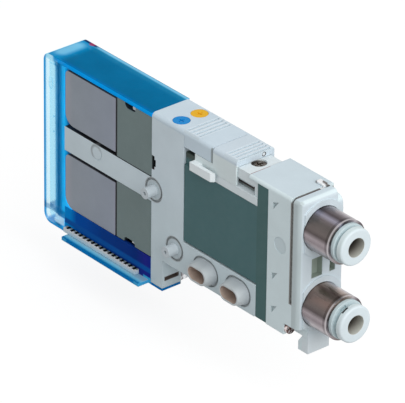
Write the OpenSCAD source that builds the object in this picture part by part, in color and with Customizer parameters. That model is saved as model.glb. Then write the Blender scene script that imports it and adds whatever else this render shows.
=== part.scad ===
// One station of a plug-in solenoid valve manifold, 10 mm wide, for a 35 mm rail.
// +X runs along the station towards the two tube fittings, +Z is up, and -Y is the side
// that carries the air nozzles and the comb connector. The origin is the middle of the
// rail seat. Lengths below are taken from the outer end of the pilot cover, the near face
// and the underside of the foot; at_rail() moves them into the part's own frame.

/* [Station] */
// Width of the station's body
station_w = 10; // [9.6:0.1:11]
// Length of the pilot end under the blue cover
pilot_l = 35.8; // [35.8:0.2:40]
// Length of the column that joins the pilots to the valve
column_l = 10.25; // [10.25:0.25:14]
// Length of the window that shows the valve body
window_l = 23; // [23:0.2:28]
// Length of the valve body's end strip beside the port block
strip_l = 3.45; // [3.2:0.05:5]
// Length of the port block
block_l = 6.9; // [6.8:0.1:9]
// Width of the port block, which is wider than the rest of the station
block_w = 11.3; // [10.6:0.1:11.6]
// Height from the underside of the foot to the top
total_h = 40.5; // [40.5:0.5:44]
// How far the port block's top lies below the top cover
block_drop = 1.35; // [1.3:0.05:1.8]
// Radius of small moulded edges
edge_r = 0.6; // [0.3:0.1:0.8]

/* [Rail seat] */
// Depth of the foot below the rail seat
foot_h = 7.25; // [7.25:0.05:9]
// Length of the foot
foot_l = 3.7; // [3.5:0.1:4.5]
// Width of the rail across its lips
rail_w = 35; // [35:0.1:35.2]
// Thickness of the rail's lips
rail_t = 1; // [0.8:0.1:1.2]
// Play between the rail's lip and the foot
rail_play = 0.7; // [0.5:0.1:1]
// Thickness of the spring leaf that grips the rail
leaf_t = 0.3; // [0.2:0.05:0.4]

/* [Pilot cover] */
// Wall of the blue cover
cover_t = 1; // [0.8:0.1:1.1]
// Outer corner radius of the blue cover
cover_r = 2.2; // [1.5:0.1:3]
// Length of the near skirt at the outer end
skirt_l = 7; // [6.8:0.1:7.2]
// Radius of the lower corner of the pilot window
window_r = 3; // [1:0.1:3.4]

/* [Connector] */
// Height of the connector base
base_h = 6.3; // [6:0.1:6.4]
// Reach of the shelf beyond the near face
shelf_reach = 2.75; // [2:0.05:3]
// Thickness of the shelf
shelf_t = 0.8; // [0.6:0.05:0.9]
// Length of the shelf
shelf_l = 25.6; // [24:0.1:25.8]
// Pitch of the contacts
contact_pitch = 1.38; // [1.27:0.01:1.7]
// Length of the base left beyond the row of contacts
carrier_end = 3.4; // [3:0.05:3.9]
// Reach of the contact carrier beyond the near face
carrier_reach = 1.1; // [0.8:0.1:1.4]

/* [Pilots] */
// Length of a solenoid can
can_l = 16.8; // [16.4:0.1:17]
// Clear height between the centre bar and the upper can
can_gap = 0.85; // [0.6:0.05:1.2]
// Depth left behind the pilots for the circuit board
board_room = 1.08; // [1.05:0.01:1.3]
// Radius of the winding
winding_r = 3.3; // [3:0.05:3.4]
// Radius of the armature
armature_r = 1.72; // [1.5:0.02:1.75]
// Stroke of an armature
armature_stroke = 0.4; // [0.3:0.05:0.45]
// Height of the centre bar between the pilots
centre_bar_h = 5.6; // [5.4:0.1:5.8]

/* [Overrides] */
// Radius of an override button
button_r = 1.83; // [1.6:0.01:1.85]
// Distance between the two override buttons
button_gap = 4.8; // [4.6:0.1:4.9]
// Travel of an override button
button_travel = 1.2; // [0.8:0.1:1.4]
// Thickness of the top cover
lid_t = 1.1; // [1:0.05:1.2]
// Depth of the top cover's side walls
lid_skirt = 3.6; // [3.2:0.1:3.9]
// Length of the top cover beyond the column
lid_l = 9.05; // [8.8:0.05:9.05]

/* [Lock slide] */
// Length of the lock slide's block
slide_l = 7.35; // [7.2:0.05:7.4]
// Travel of the lock slide
slide_travel = 3; // [2:0.1:3.5]
// Depth of the lock slide's near wall
slide_wall = 0.45; // [0.35:0.05:0.45]
// Reach of the station hook beyond the near face
hook_reach = 1.5; // [1.2:0.1:1.7]
// Length of the station hook
hook_l = 7.1; // [6:0.1:7.2]

/* [Air nozzles] */
// Distance between the two air nozzles
nozzle_pitch = 10.25; // [9.8:0.05:10.3]
// Length of a nozzle's opening
nozzle_l = 5.2; // [4.6:0.1:5.3]
// Height of a nozzle's opening
nozzle_h = 2.9; // [2.6:0.1:3.1]
// Wall of a nozzle
nozzle_t = 0.4; // [0.3:0.05:0.5]
// Reach of a nozzle beyond the near face
nozzle_reach = 2.6; // [2:0.1:3]
// Radius of a locating pin
pin_r = 1.25; // [1:0.05:1.4]
// Reach of a locating pin beyond the near face
pin_reach = 2.5; // [2:0.1:3]

/* [Valve] */
// Radius of the spool
spool_r = 2.55; // [2.3:0.05:2.7]
// Stroke of the spool
spool_stroke = 1.6; // [1.2:0.1:1.8]
// Radius of the two pistons
piston_r = 3.15; // [3:0.05:3.3]
// Running clearance of spool and pistons
run_gap = 0.05; // [0.03:0.01:0.08]

/* [Fittings] */
// Depth of the upper fitting's axis below the top
fitting_drop = 8.6; // [8.3:0.1:8.7]
// Height of the lower fitting above the foot
fitting_low_z = 14.4; // [14.2:0.1:14.6]
// Radius of the metal sleeve
sleeve_r = 4.85; // [4.7:0.01:4.9]
// Length of the metal sleeve
sleeve_l = 7.5; // [7:0.1:8.5]
// Outer diameter of the tube
tube_d = 4; // [3.8:0.1:4]
// Radius of the release button
release_r = 4.08; // [3.9:0.01:4.3]
// Travel of the release button
release_travel = 0.6; // [0.4:0.05:0.65]
// Thickness of the port block in front of the clip
plate_t = 2.15; // [2.1:0.05:3]
// Width of the slit for the retaining clip
slit_w = 0.8; // [0.7:0.01:0.9]

/* [Hidden] */

// A little more than a face, for cuts that run clear of it
e = 0.01;
// Clear gap between pieces that lie side by side
fit = 0.1;
// Clear gap round a shaft that slides
slip = 0.05;

// Stations along X
x_col = pilot_l;
x_win = x_col + column_l;
x_strip = x_win + window_l;
x_block = x_strip + strip_l;
x_slit = x_block + block_l;
x_plate = x_slit + slit_w;
x_face = x_plate + plate_t;
x_foot = x_col + foot_l;
rail_x = x_foot + rail_play + rail_w / 2;

// Stations along Z
z_seat = foot_h;
bar_h = 7.4;
z_bar = z_seat + bar_h;
z_top = total_h;
z_lid = z_top - lid_t;
z_block = z_top - block_drop;
fitting_top_z = z_top - fitting_drop;

// Across the station
y_mid = station_w / 2;
near_wall = 0.8;
y_far = station_w - near_wall;

// Connector
floor_t = 1;
base_x = skirt_l + slip;
tongue_t = 0.6;
tongue_w = 4.9;
shelf_x = x_col - 0.8 - shelf_l;
carrier_x = base_x + 0.9;
contacts = floor((x_col - carrier_end - carrier_x) / contact_pitch - 0.3);
carrier_l = (contacts + 0.3) * contact_pitch;
carrier_z = shelf_t + slip;
carrier_h = 1;
carrier_in = station_w - 3;
slot_w = contact_pitch * 0.58;
carrier_lip = 0.18;
blade_w = 0.5;
blade_t = 0.2;
socket_depth = shelf_reach + 0.15;
cavity_z = 3;

// Pilots
pilot_y = 0.12;
pilot_y1 = y_far - board_room;
can_x = skirt_l + 0.2;
can_x1 = can_x + can_l;
pilot_x = can_x1 + 0.2;
pilot_x1 = x_col - 0.15;
can_foot_gap = 0.1;
can_bar_gap = 0.7;
can_top_gap = 0.45;
can_b_z = base_h + can_foot_gap;
can_room = z_lid - can_top_gap - can_b_z - can_bar_gap - centre_bar_h - can_gap;
can_h = can_room / 2;
can_a_z = z_lid - can_top_gap - can_h;
pilot_cy = (pilot_y + pilot_y1) / 2;
axis_b = can_b_z + can_h / 2;
axis_a = can_a_z + can_h / 2;
bar_z = can_b_z + can_h + can_bar_gap;
bar_z1 = bar_z + centre_bar_h;
can_wall = 1;
bore_r = winding_r + 0.15;
bobbin_x = can_x + can_wall + 0.1;
bobbin_x1 = can_x1 - can_wall - 0.1;
bobbin_flange = 0.5;
bobbin_r = armature_r + slip + 0.45;
core_l = 7.2;
core_x1 = can_x + can_wall + 0.1 + core_l;
armature_x = core_x1 + armature_stroke + 0.1;
seat_x = pilot_x + 2.05;
armature_x1 = seat_x - 0.02;
collar_x = armature_x1 - 0.95;
collar_t = 0.4;
collar_r = armature_r + 0.5;
nose_r = collar_r + 0.2;
board_y = pilot_y1 + 0.2;
board_t = 0.8;
board_x = 1.6;
board_x1 = x_col - 1 - fit;
inner_wall = 0.8;
inner_wall_x = skirt_l - 2;
lamp_w = 1;
lead_x = 4.4;
lead_l = 3.6;
lead_h = 1.8;
lead_depth = 2;
clip_w = 1;
clip_x = pilot_x + lead_x + 0.3;
clip_h = 0.7;

// Overrides
button_x = x_col + 6.3;
button_a_y = y_mid - button_gap / 2;
button_b_y = y_mid + button_gap / 2;
flange_r = button_r + 0.2;
flange_t = 0.9;
flange_z = z_lid - flange_t - 0.05;
stem_r = 1.15;
stem_l = 7;
spring_h = 2.6;
pocket_r = flange_r + slip;
pocket_z = flange_z - spring_h;

// Lock slide and its guide
lid_x1 = x_win + lid_l;
slide_x = lid_x1 + 0.15;
slide_x1 = slide_x + slide_l;
slide_y = -0.05;
guide_y = slide_y + slide_wall + fit;
guide_t = 1;
slide_base = z_block - 0.1;
slide_low = z_top - 5.7;
rail_low = z_top - 7.5;
tongue_x = x_win + 3.6;
hook_z = z_top - 7;
hook_h = 1.9;
hook_bar = 0.9;
guide_win_end = 1.3;
guide_win_h = 1.95;
tray_top = z_block - 0.2;
tray_y1 = station_w - 0.95;
guide_x = slide_x + 1.05;
pocket_x1 = slide_x1 + slide_travel + 0.75;
guide_low = rail_low;
key_w = 2.8;
key_y = y_mid - key_w / 2;
key_h = 1.4;
key_l = 2;
screw_x = slide_x1 + 1.08;
screw_head_r = 1.65;
screw_head_t = 0.7;
screw_sunk = 0.35;

// Valve body
body_y = guide_y;
face_y = 0.1;
body_y1 = station_w - 0.3;
gasket_t = 0.4;
body_z = z_bar + gasket_t;
body_top = z_top - 4.9;
tray_z = body_top + slip;
valve_cy = y_mid;
spool_z = (body_z + body_top) / 2;
spool_bore = spool_r + run_gap;
piston_bore = piston_r + run_gap;
piston_l = 3;
body_x = x_win + 0.15;
body_x1 = x_block - 0.1;
spool_x = body_x + 0.1 + piston_l;
spool_x1 = body_x1 - piston_l - spool_stroke;
piston_a_x = spool_x - piston_l;
piston_b_x1 = spool_x1 + piston_l;
land_l = 1.5;
neck_r = 1.5;
lands = 5;
land_x = spool_x + spool_stroke + 0.3;
land_x1 = spool_x1 - spool_stroke - 0.3;
land_pitch = (land_x1 - land_x - land_l) / (lands - 1);

// Air galleries
nozzle_z = z_seat + 3.67;
nozzle_x = x_win + 7.36;
recess_l = nozzle_l + 2.7;
recess_h = nozzle_h + 3.1;
boss_l = recess_l - 0.9;
boss_h = recess_h - 0.9;
seal_depth = 1;
seal_t = 0.8;
pin_a = [x_col + 0.75, bar_z + 2.95];
pin_b = [x_col + 7.6, z_seat + 4.6];
pin_ring_r = 2.7;
pin_ring_w = 0.45;
ring_depth = 0.45;

// Fittings
fit_y = block_w / 2;
cartridge_r = 3.6;
cartridge_x = x_block + 2.2;
groove_r = 2.95;
neck_x = cartridge_x + 1.6;
o_ring_w = 1.1;
o_ring_in = 2.9;
tube_r = tube_d / 2 + 0.1;
tube_seat_x = x_plate + 0.9;
tube_stop_x = tube_seat_x + 0.4;
chamber_x = x_face + 1.1;
chamber_r = 3.9;
sleeve_x = x_face + fit;
sleeve_x1 = sleeve_x + sleeve_l;
seal_l = 1.4;
collet_l = 1.5;
guide_ring_r = 4.3;
guide_end = sleeve_x1 + 0.85;
stem_out = tube_r + 0.55;
release_x = guide_end + release_travel + 0.1;
release_x1 = release_x + 1.4;
low_button_out = 0.5;
release_in = chamber_x + seal_l + collet_l + release_travel + 0.4;

$fn = 48;

module at_rail() {
    translate([-rail_x, -y_mid, -z_seat]) children();
}

// A block between two corners
module block(a, b) {
    translate(a) cube(b - a);
}

// Round bars along each axis, from one station to the next
module bar_x(x0, x1, y, z, r) {
    translate([x0, y, z]) rotate([0, 90, 0]) cylinder(h = x1 - x0, r = r);
}

module bar_y(x, y0, y1, z, r) {
    translate([x, y1, z]) rotate([90, 0, 0]) cylinder(h = y1 - y0, r = r);
}

module bar_z(x, y, z0, z1, r) {
    translate([x, y, z0]) cylinder(h = z1 - z0, r = r);
}

// A flat outline in X and Z, given thickness from y0 to y1
module slab(y0, y1) {
    translate([0, y1, 0]) rotate([90, 0, 0]) linear_extrude(height = y1 - y0) children();
}

// A flat outline in Y and Z, given thickness from x0 to x1
module plate(x0, x1) {
    translate([x0, 0, 0]) rotate([90, 0, 90]) linear_extrude(height = x1 - x0) children();
}

// What a rounded corner takes away; sx and sz point into the outline
module corner_cut(p, sx, sz, r) {
    translate(p) difference() {
        translate([sx > 0 ? -e : -r, sz > 0 ? -e : -r]) square(r + e);
        translate([sx * r, sz * r]) circle(r);
    }
}

// A rectangle with its own radius at each corner: low left, low right, top right, top left
module outline(a, b, r = [0, 0, 0, 0]) {
    difference() {
        translate(a) square(b - a);
        if (r[0] > 0) corner_cut(a, 1, 1, r[0]);
        if (r[1] > 0) corner_cut([b[0], a[1]], -1, 1, r[1]);
        if (r[2] > 0) corner_cut(b, -1, -1, r[2]);
        if (r[3] > 0) corner_cut([a[0], b[1]], 1, -1, r[3]);
    }
}

module racetrack(p, l, h) {
    translate(p) {
        square([l - h, h], center = true);
        for (s = [-1, 1]) translate([s * (l - h) / 2, 0]) circle(d = h);
    }
}

// A coil spring standing on z = 0, as one swept wire
module coil_spring(r, wire, turns, h) {
    sides = 6;
    per_turn = 14;
    rings = turns * per_turn;
    rise = h - wire;
    function ring_point(i, k) = let (
        turn = 360 * i / per_turn,
        around = 360 * k / sides,
        reach = r + wire / 2 * cos(around)
    ) [reach * cos(turn), reach * sin(turn), wire / 2 + rise * i / rings + wire / 2 * sin(around)];
    points = [for (i = [0:rings], k = [0:sides - 1]) ring_point(i, k)];
    skin = [for (i = [0:rings - 1], k = [0:sides - 1]) [
        i * sides + k,
        i * sides + (k + 1) % sides,
        (i + 1) * sides + (k + 1) % sides,
        (i + 1) * sides + k
    ]];
    start = [for (k = [sides - 1:-1:0]) k];
    finish = [for (k = [0:sides - 1]) rings * sides + k];
    polyhedron(points = points, faces = concat([start], skin, [finish]), convexity = 6);
}

// Blue cover: top, outer end and far wall in one moulding, with a skirt at the near end
module pilot_cover() at_rail() color("deepskyblue", 0.6) {
    outer = [cover_r, 0, 0, cover_r];
    inner_r = cover_r - cover_t;
    ear = 0.9;
    difference() {
        slab(0, station_w) outline([0, 0], [x_col - slip, z_top], outer);
        slab(near_wall, y_far)
            outline([cover_t, cover_t], [x_col + e, z_lid], [inner_r, 0, 0, inner_r]);
        slab(-e, near_wall + e)
            outline([skirt_l, base_h], [x_col + e, z_lid], [window_r, 0, 0, ear]);
        block([skirt_l, -e, -e], [x_col + e, station_w + e, base_h + slip]);
        cover_panel_recess();
    }
    cover_inner_wall();
    cover_panel_marks();
}

// Shallow field in the near skirt
module cover_panel_recess() {
    margin = 0.95;
    depth = 0.25;
    slab(-e, depth)
        outline([margin, cover_t + margin], [skirt_l - 2.2, z_lid - margin], [1, 0.4, 0.4, 1]);
}

// Wall inside the outer end, which carries the ends of the cans
module cover_inner_wall() {
    block(
        [inner_wall_x, near_wall - e, cover_t - e],
        [inner_wall_x + inner_wall, board_y - 0.2, z_lid + e]
    );
}

// Catch window and gate marks moulded in the skirt
module cover_panel_marks() {
    mark_x = 2.4;
    catch_z = z_lid - 5.6;
    proud = 0.2;
    gates = [z_lid - 13.2, z_lid - 16.8];
    slab(0.25 - proud, 0.25 + e) difference() {
        rotate(0) racetrack_up([mark_x, catch_z], 2.9, 1.5);
        racetrack_up([mark_x, catch_z], 2.3, 0.9);
    }
    for (z = gates) bar_y(mark_x + 0.9, 0.25 - proud, 0.25 + e, z, 0.25);
}

// A racetrack that stands on end
module racetrack_up(p, l, h) {
    translate(p) rotate(90) racetrack([0, 0], l, h);
}

// Blue base: near band, comb shelf, far socket and the tongue under the foot
module connector_base() at_rail() color("dodgerblue", 0.7) {
    difference() {
        union() {
            block([base_x, 0, 0], [x_col - slip, station_w, base_h]);
            block([x_col - slip - e, 0, 0], [x_foot, tongue_w, tongue_t - slip]);
            block([shelf_x, -shelf_reach, 0], [shelf_x + shelf_l, e, shelf_t]);
        }
        block([base_x + near_wall, near_wall, cavity_z], [x_col - 1, y_far, base_h + e]);
        carrier_channel(fit / 2);
        far_socket();
    }
}

// Room for the carrier, and for the next station's carrier on the far side
module carrier_channel(play) {
    block(
        [carrier_x - play, -e, carrier_z - play],
        [carrier_x + carrier_l + play, carrier_in + play, carrier_z + carrier_h + play]
    );
}

module far_socket() {
    play = 0.15;
    block(
        [shelf_x - play, station_w - socket_depth, -e],
        [shelf_x + shelf_l + play, station_w + e, shelf_t + play]
    );
    block(
        [carrier_x - play, station_w - carrier_reach - play, -e],
        [carrier_x + carrier_l + play, station_w + e, carrier_z + carrier_h + play]
    );
}

// Beige strip with a slot for each contact
module contact_carrier() at_rail() color("wheat") {
    floor_h = 0.2;
    difference() {
        block(
            [carrier_x, -carrier_reach, carrier_z],
            [carrier_x + carrier_l, carrier_in, carrier_z + carrier_h]
        );
        for (i = [0:contacts - 1]) {
            x = contact_x(i);
            block(
                [x - slot_w / 2, -carrier_reach + carrier_lip, carrier_z + floor_h],
                [x + slot_w / 2, carrier_in + e, carrier_z + carrier_h + e]
            );
        }
    }
}

function contact_x(i) = carrier_x + carrier_l / 2 + (i - (contacts - 1) / 2) * contact_pitch;

// One blade in each slot
module contact_pins() at_rail() color("gold") {
    floor_h = 0.2;
    for (i = [0:contacts - 1]) {
        x = contact_x(i);
        block(
            [x - blade_w / 2, -carrier_reach + 0.4, carrier_z + floor_h],
            [x + blade_w / 2, carrier_in - 0.2, carrier_z + floor_h + blade_t]
        );
    }
}

// Board along the far wall, from the contacts to the lamps
module circuit_board() at_rail() color("seagreen") {
    y1 = board_y + board_t;
    difference() {
        slab(board_y, y1) outline([board_x, cavity_z + 0.1], [board_x1, z_lid - 0.4]);
        block([board_x - e, board_y - e, 0], [base_x + near_wall + 0.2, y1 + e, base_h + 0.2]);
        for (z = [axis_a, axis_b], x = [pilot_x + 4, pilot_x + 6.5])
            bar_y(x, board_y - e, y1 + e, z, 0.5);
    }
}

module indicator_lamps() at_rail() color("red") {
    for (x = [board_x + 1.6, inner_wall_x + inner_wall + 0.15])
        block([x, board_y - 0.9, z_lid - 2.2], [x + lamp_w, board_y, z_lid - 0.6]);
}

// Steel can round one winding; its outer corners are rounded
module solenoid_can(z, corners) at_rail() color("slategray") {
    hole_r = nose_r + 0.1;
    difference() {
        slab(pilot_y, pilot_y1)
            outline([can_x, z], [can_x1, z + can_h], corners);
        bar_x(can_x + can_wall, can_x1 - can_wall, pilot_cy, z + can_h / 2, bore_r);
        bar_x(can_x1 - can_wall - e, can_x1 + e, pilot_cy, z + can_h / 2, hole_r);
    }
}

module solenoid_can_a() solenoid_can(can_a_z, [window_r - 0.4, 0.3, 0.3, 1.4]);

module solenoid_can_b() solenoid_can(can_b_z, [window_r - 0.4, 0.3, 0.3, 1.4]);

// Spool that carries the winding; the armature slides in it
module bobbin(z) at_rail() color("ivory") {
    flange = winding_r + 0.05;
    difference() {
        union() {
            bar_x(bobbin_x, bobbin_x1, pilot_cy, z, bobbin_r);
            bar_x(bobbin_x, bobbin_x + bobbin_flange, pilot_cy, z, flange);
            bar_x(bobbin_x1 - bobbin_flange, bobbin_x1, pilot_cy, z, flange);
        }
        bar_x(bobbin_x - e, bobbin_x1 + e, pilot_cy, z, armature_r + slip);
    }
}

module bobbin_a() bobbin(axis_a);

module bobbin_b() bobbin(axis_b);

module winding(z) at_rail() color("peru") {
    difference() {
        bar_x(bobbin_x + bobbin_flange, bobbin_x1 - bobbin_flange, pilot_cy, z, winding_r);
        bar_x(bobbin_x, bobbin_x1, pilot_cy, z, bobbin_r);
    }
}

module winding_a() winding(axis_a);

module winding_b() winding(axis_b);

module fixed_core(z) at_rail() color("silver") {
    bar_x(can_x + can_wall, core_x1, pilot_cy, z, armature_r + slip);
}

module fixed_core_a() fixed_core(axis_a);

module fixed_core_b() fixed_core(axis_b);

// Plunger with a collar for its spring
module armature(z) at_rail() color("gainsboro") {
    bar_x(armature_x, armature_x1, pilot_cy, z, armature_r);
    bar_x(collar_x, collar_x + collar_t, pilot_cy, z, collar_r);
}

module armature_a() armature(axis_a);

module armature_b() armature(axis_b);

module armature_spring(z) at_rail() color("lightgray") {
    wire = 0.28;
    length = collar_x - bobbin_x1;
    translate([bobbin_x1, pilot_cy, z]) rotate([0, 90, 0])
        coil_spring(armature_r + 0.1 + wire / 2, wire, 2.5, length);
}

module armature_spring_a() armature_spring(axis_a);

module armature_spring_b() armature_spring(axis_b);

// Pilot valve body with its seat, air hole and the notch for the coil's leads
module pilot_body(z0, z1, axis, notch_z) at_rail() color("dimgray") {
    room_x1 = pilot_x + 3.2;
    seat_r = 0.8;
    air_r = 0.35;
    difference() {
        union() {
            difference() {
                slab(pilot_y, pilot_y1) outline([pilot_x, z0], [pilot_x1, z1], [0, 0.5, 0, 0]);
                bar_x(pilot_x - e, room_x1, pilot_cy, axis, nose_r);
            }
            bar_x(seat_x, room_x1 + e, pilot_cy, axis, seat_r);
        }
        bar_x(seat_x - e, pilot_x1 + e, pilot_cy, axis, air_r);
        lead_notch(notch_z);
    }
}

// Round-bottomed notch in the near face
module lead_notch(z) {
    slab(pilot_y - e, pilot_y + lead_depth) racetrack([pilot_x + lead_x, z], lead_l, lead_h);
}

module pilot_body_a() pilot_body(bar_z1 + 0.15, z_lid - 0.1, axis_a, z_lid - 0.5);

module pilot_body_b() pilot_body(base_h + 0.2, bar_z - 0.15, axis_b, base_h + 0.4);

// White clips that hold the coil's leads in the notches
module lead_clips() at_rail() color("white") {
    for (low = [z_lid - 0.5 - clip_h, base_h + 0.4])
        block([clip_x, pilot_y + 0.5, low], [clip_x + clip_w, pilot_y + lead_depth, low + clip_h]);
}

// Light grey frame: column, foot, centre bar and the gallery bar with its nozzles and pins
module manifold_frame() at_rail() color("lightsteelblue") {
    difference() {
        union() {
            frame_outline();
            for (i = [0, 1]) nozzle_tube(nozzle_x + i * nozzle_pitch);
            for (p = [pin_a, pin_b]) bar_y(p[0], -pin_reach, ring_depth + e, p[1], pin_r);
        }
        for (i = [0, 1]) nozzle_bore(nozzle_x + i * nozzle_pitch);
        for (p = [pin_a, pin_b]) pin_holes(p);
        override_pockets();
        foot_cuts();
        column_notch();
        valve_fixings();
    }
}

module frame_outline() {
    notch_h = 0.25;
    difference() {
        union() {
            slab(0, station_w) {
                outline([x_col, z_seat - e], [x_win, z_lid]);
                outline([x_col, 0], [x_foot, z_seat]);
                outline([x_win - e, z_seat], [x_strip, z_bar], [0, 0.3, 0, 0]);
            }
            slab(0, pilot_y1) outline([skirt_l + slip, bar_z], [x_col + e, bar_z1]);
        }
        block([x_col - e, -e, -e], [x_foot + e, tongue_w + slip, tongue_t]);
        for (i = [0, 1]) nozzle_recess(nozzle_x + i * nozzle_pitch);
        for (p = [pin_a, pin_b]) pin_ring(p);
        bar_mark();
    }
}

// Round gate mark on the centre bar
module bar_mark() {
    depth = 0.12;
    translate([skirt_l + 10.7, 0, bar_z + centre_bar_h - 1.9]) rotate([90, 0, 0])
        translate([0, 0, -depth]) difference() {
            cylinder(h = depth + e, r = 1.75);
            translate([0, 0, -e]) cylinder(h = depth + 3 * e, r = 1.5);
        }
}

// Stepped seat round a nozzle: a recess with a lower boss in it
module nozzle_recess(x) {
    slab(-e, ring_depth) difference() {
        racetrack([x, nozzle_z], recess_l, recess_h);
        racetrack([x, nozzle_z], boss_l, boss_h);
    }
}

module nozzle_tube(x) {
    tip_l = nozzle_l + 2 * nozzle_t;
    tip_h = nozzle_h + 2 * nozzle_t;
    root_h = boss_h - 0.05;
    half = (tip_l - tip_h) / 2;
    for (s = [-1, 1]) translate([x + s * half, e, nozzle_z]) rotate([90, 0, 0])
        cylinder(h = nozzle_reach + e, r1 = root_h / 2, r2 = tip_h / 2);
    plate(x - half, x + half) polygon([
        [e, nozzle_z - root_h / 2],
        [-nozzle_reach, nozzle_z - tip_h / 2],
        [-nozzle_reach, nozzle_z + tip_h / 2],
        [e, nozzle_z + root_h / 2]
    ]);
}

// Gallery through the bar, opened out on the far side for the next nozzle and its seal
module nozzle_bore(x) {
    play = 0.1;
    seat_l = nozzle_l + 2 * nozzle_t + 2 * play;
    seat_h = nozzle_h + 2 * nozzle_t + 2 * play;
    slab(-nozzle_reach - e, station_w + e) racetrack([x, nozzle_z], nozzle_l, nozzle_h);
    slab(station_w - nozzle_reach - play, station_w + e)
        racetrack([x, nozzle_z], seat_l, seat_h);
    slab(station_w - seal_depth, station_w + e)
        racetrack([x, nozzle_z], seat_l + 2 * seal_t, seat_h + 2 * seal_t);
}

module pin_ring(p) {
    slab(-e, ring_depth) difference() {
        translate(p) circle(pin_ring_r);
        translate(p) circle(pin_ring_r - pin_ring_w);
    }
}

// Blind hole in the pin's end, and the socket for the next pin on the far side
module pin_holes(p) {
    hole_r = 0.4;
    play = 0.08;
    bar_y(p[0], -pin_reach - e, 0, p[1], hole_r);
    bar_y(p[0], station_w - pin_reach - 0.2, station_w + e, p[1], pin_r + play);
}

module override_pockets() {
    for (y = [button_a_y, button_b_y]) {
        bar_z(button_x, y, pocket_z, z_lid + e, pocket_r);
        bar_z(button_x, y, flange_z - stem_l - button_travel - 0.4, z_lid, stem_r + slip);
    }
}

// Latch slot and the pocket for the rail leaf, both in the foot's inner face
module foot_cuts() {
    slot_z = 2.15;
    slot_h = 1;
    block([x_foot - 1.2, 0.65, slot_z], [x_foot + e, 4.5, slot_z + slot_h]);
    block([leaf_x - fit / 2, leaf_y - fit / 2, -e], [x_foot + e, leaf_y1 + fit / 2, z_seat - 0.4]);
}

module column_notch() {
    block([x_col - e, -e, bar_z1 + 2.1], [x_col + 0.9, 2.4, bar_z1 + 5.3]);
    block([x_col - e, -e, bar_z1 + 2.9], [x_col + 1.3, 2.4, bar_z1 + 4.5]);
}

// Threaded hole for the block screws' far ends is in the valve body; the frame takes the
// two screws that hold the valve from the far side
module valve_fixings() {
    for (x = [x_win + 2, x_strip - 1.2]) bar_z(x, y_far - 0.9, z_bar - 2.5, z_bar + e, 0.7);
}

leaf_x = x_foot - 1.6;
leaf_y = tongue_w + 0.25;
leaf_y1 = station_w - 0.9;

// Spring leaf in the foot, bent to a hairpin, whose nose grips the rail's lip
module rail_leaf() at_rail() color("whitesmoke") {
    bend_r = 0.65;
    low = 0.25 + bend_r;
    high = z_seat - 0.6;
    nose = 0.9;
    nose_z = z_seat - rail_t - 0.35;
    outer_x = leaf_x + 2 * bend_r;
    slab(leaf_y, leaf_y1) {
        translate([leaf_x, low]) square([leaf_t, high - low]);
        translate([outer_x - leaf_t, low]) square([leaf_t, nose_z - low]);
        translate([outer_x - leaf_t, nose_z - leaf_t]) square([nose + leaf_t, leaf_t]);
        difference() {
            translate([leaf_x + bend_r, low]) circle(bend_r);
            translate([leaf_x + bend_r, low]) circle(bend_r - leaf_t);
            translate([leaf_x - e, low]) square([2 * bend_r + 2 * e, bend_r + e]);
        }
    }
}

// Rubber rings in the far sockets
module nozzle_seals() at_rail() color("black") {
    play = 0.1;
    seat_l = nozzle_l + 2 * nozzle_t + 2 * play;
    seat_h = nozzle_h + 2 * nozzle_t + 2 * play;
    for (i = [0, 1]) {
        x = nozzle_x + i * nozzle_pitch;
        slab(station_w - seal_depth, station_w - 0.15) difference() {
            racetrack([x, nozzle_z], seat_l + 2 * seal_t - slip, seat_h + 2 * seal_t - slip);
            racetrack([x, nozzle_z], seat_l + 0.1, seat_h + 0.1);
        }
    }
}

// Top cover with the two button holes and grip ribs
module top_cover() at_rail() color("gainsboro") {
    difference() {
        union() {
            plate(x_col, lid_x1) outline([0, z_lid], [station_w, z_top], [0, 0, edge_r, top_r]);
            for (y = [0, station_w - near_wall])
                block([x_win + fit, y, z_top - lid_skirt], [lid_x1, y + near_wall, z_lid + e]);
        }
        for (y = [button_a_y, button_b_y])
            bar_z(button_x, y, z_lid - e, z_top + e, button_r + slip);
        for (i = [0:3]) grip_groove(x_win + 0.25 + i * 1.17);
    }
}

top_r = 0.9;

// Groove between two grip ribs, across the station
module grip_groove(x) {
    w = 0.5;
    margin = 1;
    depth = 0.22;
    block([x - w / 2, margin, z_top - depth], [x + w / 2, station_w - margin, z_top + e]);
}

// Stepped button with a cross mark in its end
module override_button(y) at_rail() {
    mark_l = 1.4;
    mark_w = 0.3;
    mark_d = 0.2;
    top = z_top - 0.05;
    difference() {
        union() {
            bar_z(button_x, y, flange_z, top, button_r);
            bar_z(button_x, y, flange_z, flange_z + flange_t, flange_r);
            bar_z(button_x, y, flange_z - stem_l, flange_z + e, stem_r);
        }
        translate([button_x, y, top]) {
            cube([mark_l, mark_w, 2 * mark_d], center = true);
            cube([mark_w, mark_l, 2 * mark_d], center = true);
        }
    }
}

module override_button_a() color("royalblue") override_button(button_a_y);

module override_button_b() color("orange") override_button(button_b_y);

module override_spring(y) at_rail() color("lightgray") {
    wire = 0.3;
    translate([button_x, y, pocket_z])
        coil_spring(stem_r + 0.2 + wire / 2, wire, 3.5, spring_h);
}

module override_spring_a() override_spring(button_a_y);

module override_spring_b() override_spring(button_b_y);

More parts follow.
